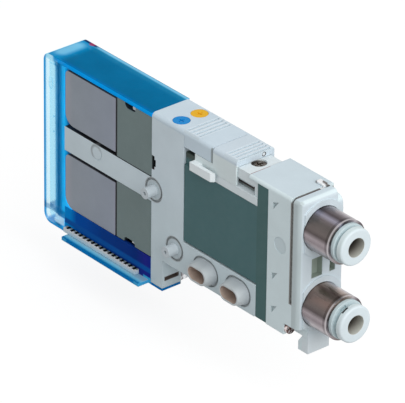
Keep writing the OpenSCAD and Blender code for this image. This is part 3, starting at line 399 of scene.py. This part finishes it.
def metal(name, colour, rough=0.3, lines=(1, 1, 1), line_scale=4000, metallic=1.0):
    """Plated or ground metal: fine lines along one direction, a little stain, softened edges."""
    material, tree, shader = new_material(name)
    base = colour(tree) if callable(colour) else linear(colour)
    fine = noise(tree, line_scale, 2, 0.6, lines)
    worn = spread(tree, noise(tree, STAIN_SCALE, 4, 0.6), 0.35, 0.65, 1 - STAIN, 1.0)
    streak = vary(tree, fine, 0.96, 1.04)
    base = scaled(tree, base, maths(tree, "MULTIPLY", worn, streak))
    tree.links.new(base, shader.inputs["Base Color"])
    shader.inputs["Metallic"].default_value = metallic
    tree.links.new(vary(tree, fine, rough - 0.05, rough + 0.07), shader.inputs["Roughness"])
    normal, _ = soft_edges(tree, METAL_EDGE * MM)
    bump(tree, shader, fine, LINE_HEIGHT * MM, normal)
    return material


def tinted(name, colour, opacity, tint, glow=0.0):
    """Clear tinted moulding: part of it lets what lies behind show through its tint.

    glow stands for the light that comes through the wall from its other side.
    """
    material, tree, shader = new_material(name)
    flow = vary(tree, noise(tree, CLEAR_FLOW, 3, 0.6), 0.93, 1.06)
    normal, edge = soft_edges(tree, CLEAR_EDGE * MM)
    # The edges are painted lighter: a painted highlight along them.
    edge_light = spread(tree, edge, 0.0, 1.0, 1.0, 1.35)
    base = scaled(tree, colour(tree), maths(tree, "MULTIPLY", flow, edge_light))
    tree.links.new(base, shader.inputs["Base Color"])
    if glow:
        tree.links.new(base, shader.inputs["Emission Color"])
        shader.inputs["Emission Strength"].default_value = glow
    shader.inputs["Specular IOR Level"].default_value = CLEAR_SPECULAR
    shader.inputs["Specular Tint"].default_value = CLEAR_SHINE
    roughness = vary(tree, noise(tree, POLISH, 2), CLEAR_ROUGH * 0.7, CLEAR_ROUGH * 1.5)
    tree.links.new(roughness, shader.inputs["Roughness"])
    bump(tree, shader, noise(tree, CLEAR_WAVE, 2), CLEAR_HEIGHT * MM, normal)
    clear = tree.nodes.new("ShaderNodeBsdfTransparent")
    clear.inputs["Color"].default_value = tint
    mix = tree.nodes.new("ShaderNodeMixShader")
    set_input(tree, mix.inputs["Fac"], opacity(tree) if callable(opacity) else opacity)
    tree.links.new(clear.outputs["BSDF"], mix.inputs[1])
    tree.links.new(shader.outputs["BSDF"], mix.inputs[2])
    tree.links.new(mix.outputs["Shader"], tree.nodes["Material Output"].inputs["Surface"])
    return material


def dress(names, material):
    for name in names:
        for slot in nodes[name].material_slots:
            slot.material = material


# Blue cover: pale where it is thin, deep where the walls meet, with painted highlights on its edges,
# sill, skirt and roof
TOP = span("pilot_cover")[1][2]
ROOF = 39.4
CAN_START, CAN_END = (corner[0] for corner in span("solenoid_can_a"))
SILL_X, SILL_Z = (0.9, 6.8), (1.2, 3.0)
THIN_X, THIN_Z = (0.75, 3.6), (0.6, 39.2)
END_X, END_Y, END_Z = 0.72, (0.6, 9.4), (0.7, 39.7)
FAR_WALL_X, FAR_WALL_Y = 7.4, 5.0
OVAL_MARK, OVAL_HALF = (2.4, 33.25), 0.35
DOT_MARKS = ((3.0, 25.7), (3.0, 22.1))
HIGHLIGHT_PATCH, HIGHLIGHT_HALF = (4.8, 2.9), 2.0
LAMP = (4.4, 9.7)
COVER_TINT = (0.84, 0.965, 1.0, 1.0)
COVER_GLOW = 0.3
CLEAR, FAR_WALL, THICK, DENSE = ((v, v, v, 1.0) for v in (0.07, 0.76, 0.86, 0.97))


def far_wall(tree, x, y):
    return all_of(tree, above(tree, y, FAR_WALL_Y, 1.0), above(tree, x, FAR_WALL_X, 1.4))


def sill(tree, x, z):
    """The strip along the foot of the skirt, which skirt_colour paints pale as a highlight."""
    return all_of(tree, between(tree, z, *SILL_Z, 0.5), between(tree, x, *SILL_X, 0.6))


def skirt_colour(tree, x, z):
    """The near skirt, from the outer end to the cans."""
    # The bright bands next to the cans are a painted highlight.
    skirt = ramp(
        tree, x, (0.0, (20, 160, 220)), (0.4, (14, 150, 220)), (1.0, (150, 225, 252)),
        (2.9, (180, 232, 255)), (3.5, (40, 160, 215)), (4.3, (5, 116, 174)), (5.2, (3, 98, 150)),
        (5.9, (6, 138, 205)), (6.4, (18, 182, 255)), (CAN_START, (44, 192, 255)),
    )
    low = all_of(tree, below(tree, z, 4.8, 0.9), above(tree, z, 3.1, 0.3))
    skirt = paint(tree, skirt, low, (4, 104, 164), 0.8)
    # A painted highlight along the sill.
    skirt = paint(tree, skirt, sill(tree, x, z), (196, 236, 255))
    skirt = paint(tree, skirt, below(tree, z, 0.6, 0.4), (8, 140, 205))
    oval = between(tree, reach(tree, x, z, *OVAL_MARK, OVAL_HALF), 0.42, 0.8, 0.15)
    oval = all_of(tree, oval, above(tree, x, 1.3, 0.3))
    dots = (below(tree, reach(tree, x, z, *mark), 0.36, 0.3) for mark in DOT_MARKS)
    return paint(tree, skirt, any_of(tree, oval, *dots), (10, 120, 180))


def roof_colour(tree, x, y):
    """The cover's top: deep blue, paler over the outer end, a painted highlight along the far edge, a
    soft painted highlight patch and the lamp.
    """
    roof = ramp(
        tree, y, (0.0, (1, 106, 168)), (0.6, (1, 98, 148)), (1.2, (1, 97, 140)), (7.5, (2, 101, 145)),
        (9.0, (12, 116, 158)), (9.35, (100, 172, 206)), (9.75, (120, 184, 214)), (10.0, (24, 108, 150)),
    )
    roof = paint(tree, roof, below(tree, x, 5.5, 3.0), (4, 132, 186))
    # A soft painted highlight patch.
    highlight = below(tree, reach(tree, y, x, *HIGHLIGHT_PATCH, HIGHLIGHT_HALF), 1.5, 1.9)
    roof = paint(tree, roof, highlight, (106, 180, 216))
    corner = all_of(tree, above(tree, y, 9.3, 0.3), below(tree, x, 6.0, 1.5))
    roof = paint(tree, roof, corner, (2, 42, 92))
    lamp = below(tree, reach(tree, x, y, *LAMP), 0.75, 0.5)
    return paint(tree, roof, lamp, (160, 50, 84), 0.8)


def cover_colour(tree):
    x, y, z = station(tree)
    deep = ramp(
        tree, z, (0.0, (4, 92, 148)), (6.0, (3, 98, 152)), (30.0, (4, 108, 166)), (TOP, (8, 128, 190)),
    )
    side = blend(tree, far_wall(tree, x, y), skirt_colour(tree, x, z), deep)
    # A painted highlight strip along the edge under the roof.
    edge = ramp(
        tree, z, (39.3, (4, 110, 165)), (39.6, (6, 150, 230)), (40.1, (10, 158, 240)),
        (TOP, (6, 140, 215)),
    )
    rim = all_of(tree, above(tree, z, ROOF, 0.15), above(tree, x, 4.0, 2.0))
    side = blend(tree, rim, side, edge)
    return blend(tree, above(tree, z, TOP - 0.12, 0.12), side, roof_colour(tree, x, y))


def cover_opacity(tree):
    """Nearly clear where the wall is thin and faces the near side or the outer end."""
    x, y, z = station(tree)
    thin = all_of(tree, between(tree, x, *THIN_X, 0.7), between(tree, z, *THIN_Z, 0.5))
    foot = between(tree, z, 3.0, 4.3, 0.5)
    thin = part_of(tree, thin, spread(tree, foot, 0.0, 1.0, 1.0, 0.3))
    end = all_of(tree, between(tree, y, *END_Y, 0.4), between(tree, z, *END_Z, 0.4))
    end = all_of(tree, end, below(tree, x, END_X, 0.05))
    clear = any_of(tree, thin, end, part_of(tree, sill(tree, x, z), 0.25))
    solid = blend(tree, far_wall(tree, x, y), THICK, FAR_WALL)
    solid = blend(tree, above(tree, z, TOP - 0.3, 0.2), solid, DENSE)
    return blend(tree, clear, solid, CLEAR)


# Blue base: deep behind the comb, light on the shelf
SHELF_TOP = 0.8
SHELF_REACH = span("connector_base")[0][1]
SHELF_ENDS = (10.9, 33.4)
TONGUE_X = 35.72
BASE_OPACITY = 0.94
BASE_TINT = (0.3, 0.6, 1.0, 1.0)


def base_colour(tree):
    x, y, z = station(tree)
    band = ramp(
        tree, x, (7.0, (8, 152, 236)), (9.0, (8, 146, 234)), (11.0, (8, 88, 184)), (20.0, (16, 68, 152)),
        (31.0, (18, 54, 136)), (34.0, (40, 46, 150)), (36.0, (24, 44, 150)),
    )
    strip = all_of(tree, above(tree, z, 2.4, 0.4), below(tree, z, 3.6, 0.6))
    band = paint(tree, band, strip, (22, 94, 180))
    inner_end = all_of(tree, above(tree, x, 33.3, 0.4), below(tree, z, 1.3, 0.4))
    band = paint(tree, band, inner_end, (70, 186, 235))
    upper = ramp(
        tree, y, (SHELF_REACH, (4, 110, 180)), (-2.45, (30, 140, 200)), (-2.05, (104, 200, 240)),
        (-1.7, (136, 210, 242)), (-1.3, (146, 196, 220)), (0.0, (150, 182, 204)),
    )
    front = ramp(tree, z, (0.0, (130, 215, 250)), (0.16, (10, 130, 205)), (SHELF_TOP, (2, 130, 215)))
    low_end, high_end = SHELF_ENDS
    ends = any_of(tree, below(tree, x, low_end, 0.8), above(tree, x, high_end, 0.8))
    front = paint(tree, front, ends, (90, 200, 245), 0.6)
    shelf = blend(tree, above(tree, z, SHELF_TOP - 0.04, 0.06), front, upper)
    blue = blend(tree, below(tree, y, -0.03, 0.04), band, shelf)
    return paint(tree, blue, above(tree, x, TONGUE_X, 0.05), (5, 122, 198))


# Contact carrier, cans and pilots
SLOTS_X = (8.4, 31.5)
# Painted shade for the cans' hidden faces and the gaps round them
CAN_SHADE = (52, 54, 60)


def carrier_colour(tree):
    x, y, z = station(tree)
    floor, top = (corner[2] for corner in span("contact_carrier"))
    light = ramp(tree, z, (floor, (196, 222, 236)), (top, (226, 228, 226)))
    teeth = all_of(tree, above(tree, y, -0.6, 0.25), above(tree, z, top - 0.05, 0.04))
    light = paint(tree, light, teeth, (128, 144, 146))
    # Painted shade inside the slots between the contacts.
    slots = all_of(tree, above(tree, y, -0.96, 0.03), below(tree, z, top - 0.03, 0.03))
    return paint(tree, light, all_of(tree, slots, between(tree, x, *SLOTS_X, 0.05)), (30, 32, 30))


def can_colour(tree):
    """Grey on the near face; painted shade on the tops, in the gap between the cans, on the far side and
    on the end beside the pilots.
    """
    x, y, z = station(tree)
    sheen = ramp(
        tree, x, (CAN_START, (172, 170, 180)), (8.2, (166, 168, 178)), (9.6, (156, 164, 174)),
        (22.4, (154, 162, 176)), (CAN_END, (160, 164, 180)),
    )
    tops = any_of(tree, above(tree, z, 38.8, 0.06), between(tree, z, 18.98, 20.0, 0.06))
    turned_shade = any_of(tree, above(tree, y, 0.25, 0.1), tops, above(tree, x, CAN_END - 0.14, 0.06))
    return paint(tree, sheen, turned_shade, CAN_SHADE)


def pilot_colour(tree):
    x, y, _ = station(tree)
    # Painted shade on the far side and on the end beside the cans.
    turned_shade = any_of(tree, above(tree, y, 0.3, 0.1), below(tree, x, 24.42, 0.06))
    return paint(tree, linear((121, 137, 137)), turned_shade, (46, 50, 52))


# Grey frame: sunk rings round pins and nozzles, and the marks of its mould, with painted shade in the
# rings, disks, bores, foot slot, notch, barrel roots and over the bar
FRAME_LOW, FRAME_HIGH = (205, 220, 226), (213, 227, 235)
SHADE = (160, 164, 165)
DISK = (192, 205, 211)
PIN_GREY = (201, 211, 217)
BOSS_ROOT, BOSS_MOUTH = (174, 182, 187), (200, 207, 210)
BORE_SHADE = (192, 174, 162)
BAR_SHADE = (44, 46, 50)
SLOT_SHADE = (128, 116, 110)
NOTCH_SHADE = (60, 50, 50)
PINS = ((36.55, 22.8), (43.4, 11.85))
PIN_RING = (2.15, 2.85)
NOZZLES = ((53.41, 10.92), (63.66, 10.92))
NOZZLE_HALF = 0.95
NOZZLE_RING = (2.5, 3.1)
BORE_HALF, BORE_R = 1.15, 1.55
NOZZLES_START = 48
FACE_Y = -0.06
GATE = (17.7, 23.5)
GATE_RING = (1.25, 1.95)
FOOT_SLOT = ((38.2, 39.47), (0.6, 4.55), (2.1, 3.2))
NOTCH_END, NOTCH_Z = 37.2, (27, 31)


def rings_and_disks(tree, x, z):
    """Masks of the sunk rings round the pins and nozzles, and of all that lies inside them."""
    from_pins = [reach(tree, x, z, *at) for at in PINS]
    from_nozzles = [reach(tree, x, z, *at, NOZZLE_HALF) for at in NOZZLES]
    rings = [between(tree, away, *PIN_RING, 0.25) for away in from_pins]
    rings += [part_of(tree, between(tree, away, *NOZZLE_RING, 0.2), 0.85) for away in from_nozzles]
    disks = [below(tree, away, PIN_RING[0], 0.2) for away in from_pins]
    disks += [below(tree, away, NOZZLE_RING[0], 0.2) for away in from_nozzles]
    return any_of(tree, *rings), any_of(tree, *disks)


def frame_colour(tree):
    x, y, z = station(tree)
    grey = blend(tree, above(tree, z, 20, 24), linear(FRAME_LOW), linear(FRAME_HIGH))
    proud = below(tree, y, FACE_Y, 0.06)
    boss = all_of(tree, proud, above(tree, x, NOZZLES_START, 0.2))
    # Painted shade: the barrels darken towards their root.
    barrel = blend(tree, spread(tree, y, -0.4, -2.5), linear(BOSS_ROOT), linear(BOSS_MOUTH))
    grey = blend(tree, boss, grey, barrel)
    pin = all_of(tree, proud, below(tree, x, NOZZLES_START, 0.2), above(tree, y, -2.6, 0.1))
    grey = paint(tree, grey, pin, PIN_GREY)
    bar_top = all_of(tree, below(tree, x, 35.5, 0.1), above(tree, z, 25.36, 0.04))
    grey = paint(tree, grey, all_of(tree, bar_top, above(tree, y, 0.04, 0.04)), BAR_SHADE)
    sunk = all_of(tree, above(tree, y, FACE_Y, 0.06), below(tree, y, 0.47, 0.04))
    rings, disks = rings_and_disks(tree, x, z)
    # Painted shade on the sunk disks inside the rings.
    grey = paint(tree, grey, all_of(tree, sunk, disks), DISK)
    grey = paint(tree, grey, all_of(tree, sunk, rings), SHADE, 0.8)
    around = between(tree, reach(tree, x, z, *GATE), *GATE_RING, 0.3)
    upper_left = below(tree, maths(tree, "SUBTRACT", x, z), GATE[0] - GATE[1] + 0.4, 1.6)
    grey = paint(tree, grey, all_of(tree, around, upper_left), SHADE, 0.5)
    from_bores = (reach(tree, x, z, *at, BORE_HALF) for at in NOZZLES)
    bores = any_of(tree, *(below(tree, away, BORE_R, 0.05) for away in from_bores))
    # Painted shade inside the bores, in a brownish grey.
    grey = paint(tree, grey, all_of(tree, bores, above(tree, y, -2.55, 0.04)), BORE_SHADE)
    slot_x, slot_y, slot_z = FOOT_SLOT
    slot = all_of(tree, between(tree, x, *slot_x, 0.03), between(tree, y, *slot_y, 0.02))
    # Painted shade in the foot slot.
    grey = paint(tree, grey, all_of(tree, slot, between(tree, z, *slot_z, 0.02)), SLOT_SHADE)
    notch = all_of(tree, below(tree, x, NOTCH_END, 0.1), between(tree, y, 0.03, 2.5, 0.04))
    # Painted shade in the notch.
    return paint(tree, grey, all_of(tree, notch, between(tree, z, *NOTCH_Z, 0.5)), NOTCH_SHADE)


# Lid, slide and guide
RIB_COUNT = 4
LID_RIBS = {"first": 46.3, "pitch": 1.17}
LID_END = 54.6
TONGUE_TOP = 39.4
SLIDE_RIBS = {"first": 59.0, "pitch": 1.05}
LINE_BROWN = (160, 122, 122)


def ribs(tree, grey, z, x, first, pitch):
    """Paints shade in the grooves that run across the top and highlights on their crests, from the first
    one's middle on.
    """
    start = first - pitch / 2
    turn = maths(tree, "FRACT", maths(tree, "DIVIDE", maths(tree, "SUBTRACT", x, start), pitch))
    off = maths(tree, "ABSOLUTE", maths(tree, "SUBTRACT", turn, 0.5))
    along = between(tree, x, start, first + (RIB_COUNT - 0.5) * pitch, 0.05)
    region = all_of(tree, along, above(tree, z, TOP - 0.4, 0.1))
    crest_highlight = all_of(tree, region, above(tree, off, 0.3, 0.15), above(tree, z, TOP - 0.05, 0.04))
    groove_shade = all_of(tree, region, below(tree, z, TOP - 0.05, 0.04))
    grey = paint(tree, grey, crest_highlight, (226, 237, 244), 0.7)
    return paint(tree, grey, groove_shade, (200, 214, 222))


def lid_colour(tree):
    x, y, z = station(tree)
    grey = ribs(tree, linear((205, 221, 232)), z, x, **LID_RIBS)
    # Painted shade on the near face's end beside the slide.
    end = all_of(tree, above(tree, x, LID_END, 0.3), below(tree, y, 0.25, 0.1))
    end = all_of(tree, end, below(tree, z, TOP - 0.3, 0.2))
    return paint(tree, grey, end, (128, 136, 136), 0.8)


def slide_colour(tree):
    x, y, z = station(tree)
    grey = ribs(tree, linear((205, 219, 229)), z, x, **SLIDE_RIBS)
    tongue = all_of(tree, below(tree, y, 0.45, 0.05), below(tree, z, TONGUE_TOP, 0.3))
    # The tongue and the proud near face are painted lighter as a highlight.
    grey = paint(tree, grey, tongue, (222, 234, 236))
    return paint(tree, grey, below(tree, y, -0.09, 0.04), (240, 248, 251))


def top_line(tree, x, y, z):
    """The thin brown line between the guide's tray and the port block's lip."""
    across = between(tree, y, 0.5, 5.6, 0.2)
    return all_of(tree, between(tree, x, 66.25, 66.6, 0.1), above(tree, z, 38.6, 0.1), across)


def guide_colour(tree):
    return paint(tree, linear((224, 234, 238)), top_line(tree, *station(tree)), LINE_BROWN)


# Port block and clip
PLATE_X = 82.2
SLIT_X = (79.35, 80.25)
DIMPLES = ((74.6, 35.5), (74.6, 19.3), (74.6, 11.6))
DIMPLE_R = 1.6
MARK, MARK_R, MARK_Y = (76.35, 27.15), 1.85, (0.02, 0.14)
POCKET = ((80.6, 82.2), (3.2, 9.7), (20.8, 25.5))


def block_colour(tree):
    x, y, z = station(tree)
    # The front face, the plate's near side and the top are painted in tones for how light falls on them;
    # the front foot is painted lighter against the sleeve's shadow.
    grey = paint(tree, linear((220, 235, 239)), above(tree, x, PLATE_X, 0.1), (209, 222, 229))
    front_foot = all_of(tree, above(tree, x, 80.5, 0.2), below(tree, z, 7, 5))
    grey = paint(tree, grey, front_foot, (222, 232, 237))
    side = all_of(tree, between(tree, x, SLIT_X[1] - 0.03, PLATE_X, 0.1), below(tree, y, 1.1, 0.8))
    grey = paint(tree, grey, side, (192, 205, 208))
    grey = paint(tree, grey, above(tree, z, 39.1, 0.1), (206, 221, 229))
    grey = paint(tree, grey, top_line(tree, x, y, z), LINE_BROWN)
    near_side = all_of(tree, between(tree, y, 0.03, 0.52, 0.03), between(tree, x, 73.6, 76.2, 0.1))
    dimples = any_of(tree, *(below(tree, reach(tree, x, z, *at), DIMPLE_R, 0.2) for at in DIMPLES))
    # Painted shade in the dimples.
    grey = paint(tree, grey, all_of(tree, near_side, dimples), (160, 172, 174), 0.5)
    mark = below(tree, reach(tree, x, z, *MARK), MARK_R, 0.1)
    mark = all_of(tree, mark, between(tree, y, *MARK_Y, 0.02))
    # Painted shade in the shallow mark.
    grey = paint(tree, grey, mark, (150, 165, 175), 0.25)
    pocket = all_of(tree, *(between(tree, v, *sides, 0.1) for v, sides in zip((x, y, z), POCKET)))
    # Painted shade in the pocket between the fittings.
    grey = paint(tree, grey, pocket, (152, 164, 152), 0.9)
    slit = all_of(
        tree, between(tree, x, *SLIT_X, 0.02), above(tree, z, 15.0, 0.1), below(tree, z, 38.3, 0.6),
    )
    # Painted shade on the slit's walls.
    return paint(tree, grey, slit, (150, 150, 148))


def clip_colour(tree):
    """A dull strip in the slit, painted dark as shade near its top, and a tab with painted glints and
    dark painted reflections on top.
    """
    _, y, z = station(tree)
    strip = paint(tree, linear((172, 176, 174)), above(tree, z, 38.2, 0.4), (84, 78, 78))
    glints = spread(tree, noise(tree, GLINTS, 0, 0.5), 0.44, 0.56)
    bright = paint(tree, linear((110, 104, 102)), glints, (244, 246, 248))
    tab = all_of(tree, above(tree, y, 7.4, 0.2), above(tree, z, 38.7, 0.2))
    return blend(tree, tab, strip, bright)


# Valve body
STRIP_X = 69.0
HOOK_X = 52
GUIDE_WINDOW = ((60.9, 68), (33.5, 36.9))


def valve_colour(tree):
    x, y, z = station(tree)
    green = paint(tree, linear((76, 110, 113)), above(tree, x, STRIP_X, 0.1), (72, 104, 104))
    # Painted shade beside the hook, darkest under the lid's edge.
    beside_hook = below(tree, x, HOOK_X, 0.5)
    green = paint(tree, green, all_of(tree, beside_hook, above(tree, z, 34.4, 1.2)), (66, 70, 60), 0.8)
    green = paint(tree, green, all_of(tree, beside_hook, above(tree, z, 36.1, 0.5)), (14, 16, 14))
    window_x, window_z = GUIDE_WINDOW
    window = all_of(tree, between(tree, x, *window_x, 0.1), between(tree, z, *window_z, 0.2))
    window = all_of(tree, window, above(tree, y, 1.2, 0.1))
    # Through the guide's window: a painted shadow in dark brown above a light grey floor.
    floor = paint(tree, linear((150, 160, 160)), above(tree, z, 35.05, 0.5), (56, 46, 42))
    return blend(tree, window, green, floor)


def pin_colour(tree):
    _, y, z = station(tree)
    _, pin_y, pin_z = middle("slide_pin")
    # A dark ring painted round the end as shade in the gap around it.
    rim = above(tree, reach(tree, y, z, pin_y, pin_z), 0.34, 0.1)
    return paint(tree, linear((244, 246, 248)), rim, (84, 74, 70))


# Nickel-plated sleeves: painted reflections in soft bands along them, a rolled rim at the mouth with a
# painted highlight, and painted shade under the rim and beside the block
FITTINGS = [middle(name) for name in both("fitting_body")]
CROWN_AT = (48, 58, 68, 80, 92, 106)
CROWNS = (
    ((98, 92, 90), (112, 104, 106), (152, 148, 162), (78, 70, 74), (104, 96, 100), (150, 142, 148)),
    ((126, 108, 102), (134, 116, 109), (158, 140, 131), (122, 102, 95), (148, 130, 121), (176, 162, 156)),
)


def sleeve_colour(centre, crown):
    """Painted reflections in bands round a sleeve, in degrees from its near side upwards; crown has those
    on top.
    """
    def build(tree):
        x, y, z = station(tree)
        up = maths(tree, "SUBTRACT", z, centre[2])
        nearer = maths(tree, "SUBTRACT", centre[1], y)
        turn = maths(tree, "MULTIPLY", maths(tree, "ARCTAN2", up, nearer), 180 / math.pi)
        painted_reflections = ramp(
            tree, turn, (-180, (110, 102, 102)), (-120, (150, 146, 148)), (-70, (118, 108, 106)),
            (-24, (172, 164, 168)), (-6, (134, 124, 128)), (4, (156, 146, 150)), (16, (88, 80, 80)),
            (26, (106, 98, 96)), *zip(CROWN_AT, crown), (118, (184, 178, 182)), (140, (100, 90, 94)),
            (180, (110, 102, 102)),
        )
        # A painted highlight on the rolled rim.
        painted_reflections = paint(tree, painted_reflections, between(tree, x, 89.45, 89.9, 0.1), (196, 192, 194), 0.7)
        # Painted shade under the rim and next to the block.
        under_rim = between(tree, x, 88.75, 89.35, 0.15)
        shaded = any_of(tree, under_rim, below(tree, x, 82.7, 0.2))
        return scaled(tree, painted_reflections, spread(tree, shaded, 0.0, 1.0, 1.0, 0.66))
    return build


# Guide rings and release buttons
BORE_WALL_R = 2.14
GAP_SLOPE = (-0.84, -0.3)


def guide_ring_colour(tree):
    x, _, _ = station(tree)
    return paint(tree, linear((196, 214, 218)), above(tree, x, 90.72, 0.06), (206, 221, 225))


def button_colour(tree):
    """White, with a painted shadow in the lower button's gap at its guide ring and a bore painted darker
    inwards as shade.
    """
    x, y, z = station(tree)
    light = paint(tree, linear((212, 226, 229)), above(tree, x, 92.7, 0.3), (218, 230, 235))
    low_y = maths(tree, "SUBTRACT", y, FITTINGS[1][1])
    low_z = maths(tree, "SUBTRACT", z, FITTINGS[1][2])
    aslope = between(tree, maths(tree, "DIVIDE", low_y, low_z), *GAP_SLOPE, 0.06)
    gap = all_of(tree, aslope, between(tree, low_z, 3.0, 5.0, 0.1), below(tree, x, 92.4, 0.1))
    light = paint(tree, light, gap, (14, 16, 16))
    bore = ramp(
        tree, x, (89.3, (56, 52, 50)), (90.3, (104, 100, 94)), (91.6, (168, 166, 158)),
        (92.8, (200, 202, 194)), (93.5, (212, 214, 206)),
    )
    from_bores = (reach(tree, y, z, *at[1:]) for at in FITTINGS)
    inside = any_of(tree, *(below(tree, away, BORE_WALL_R, 0.04) for away in from_bores))
    return blend(tree, inside, light, bore)


def glinting(light, dark):
    """Bright metal with painted glints and dark painted reflections in patches, as a small bright screw
    head shows.
    """
    def build(tree):
        reflections = spread(tree, noise(tree, REFLECTION_SPOTS, 2, 0.6), 0.42, 0.58)
        return blend(tree, reflections, linear(dark), linear(light))
    return build


def coil(name):
    """Stands for a spring: a copy of it stays on the station, and the imported one is hidden."""
    piece = bpy.data.objects.new(name + "_coil", nodes[name].data.copy())
    bpy.context.scene.collection.objects.link(piece)
    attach(piece, "station")
    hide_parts(name)
    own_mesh(piece)


place_camera()
light_world()
soft_light("key", **KEY)
lay_floor()

# Pilot end
dress(["pilot_cover"], tinted("clear_blue", cover_colour, cover_opacity, COVER_TINT, glow=COVER_GLOW))
dress(["connector_base"], tinted("clear_navy", base_colour, BASE_OPACITY, BASE_TINT))
dress(["contact_carrier"], plastic("carrier", carrier_colour))
dress(["contact_pins"], metal("contact", (70, 58, 40), rough=0.35))
dress(["circuit_board"], plastic("board", (16, 84, 88), rough=0.4))
dress(["indicator_lamps"], plastic("lamp", (200, 90, 70), rough=0.2))
steel = plastic("can", can_colour, rough=0.5, specular=0.25, mottle=0.05, edge_highlight=1.2)
dress(both("solenoid_can"), steel)
dress(both("bobbin"), plastic("bobbin", (222, 216, 200)))
dress(both("winding"), metal("copper", (190, 112, 70), lines=(20, 1, 1)))
dress(both("fixed_core") + both("armature"), metal("core", (168, 168, 162)))
dress(both("pilot_body"), plastic("pilot", pilot_colour, rough=0.55, specular=0.2))
dress(["lead_clips"], plastic("clip_white", (238, 240, 240)))

# Middle
dress(["manifold_frame"], plastic("frame_grey", frame_colour))
leaf = metal("leaf_steel", glinting((250, 252, 255), (110, 104, 108)), rough=0.2, metallic=0.6)
dress(["rail_leaf"], leaf)
dress(["top_cover"], plastic("lid_grey", lid_colour))
dress(["lock_slide"], plastic("slide_grey", slide_colour))
dress(["lock_guide"], plastic("guide_grey", guide_colour))
dress(["override_button_a"], plastic("button_blue", (14, 138, 212), rough=0.4, specular=0.1))
dress(["override_button_b"], plastic("button_orange", (238, 182, 34), rough=0.4, specular=0.1))
dress(["slide_pin"], metal("pin_steel", pin_colour, rough=0.2, metallic=0.6))
dress(["guide_screw"], metal("screw_brown", glinting((150, 142, 134), (104, 94, 88)), rough=0.35))
spring_steel = metal("spring_steel", (180, 180, 180))
dress(both("armature_spring") + both("override_spring") + both("collet"), spring_steel)

# Valve
dress(["valve_body"], plastic("valve_green", valve_colour, rough=0.5, specular=0.15))
dress(["spool"], metal("spool_metal", (205, 205, 205)))
dress(both("piston"), plastic("piston_plastic", (72, 74, 77)))
rubber = plastic("rubber", (28, 28, 28), rough=0.7, specular=0.2)
dress(["nozzle_seals", "base_gasket", "fitting_o_rings"] + both("tube_seal"), rubber)

# Port end
dress(["port_block"], plastic("block_grey", block_colour))
dress(["block_screws"], metal("screw_steel", glinting((226, 214, 212), (128, 92, 84)), rough=0.2))
dress(["retaining_clip"], metal("clip_steel", clip_colour, rough=0.25, metallic=0.4))
for node, centre, crown in zip(both("fitting_body"), FITTINGS, CROWNS):
    painted_reflections = sleeve_colour(centre, crown)
    dress([node], metal("nickel_" + node[-1], painted_reflections, lines=(0.08, 1, 1), line_scale=2500))
dress(both("fitting_guide"), plastic("guide_white", guide_ring_colour, rough=0.35))
dress(both("release_button"), plastic("button_white", button_colour, rough=0.35))

for side in "ab":
    coil("override_spring_" + side)
    coil("armature_spring_" + side)
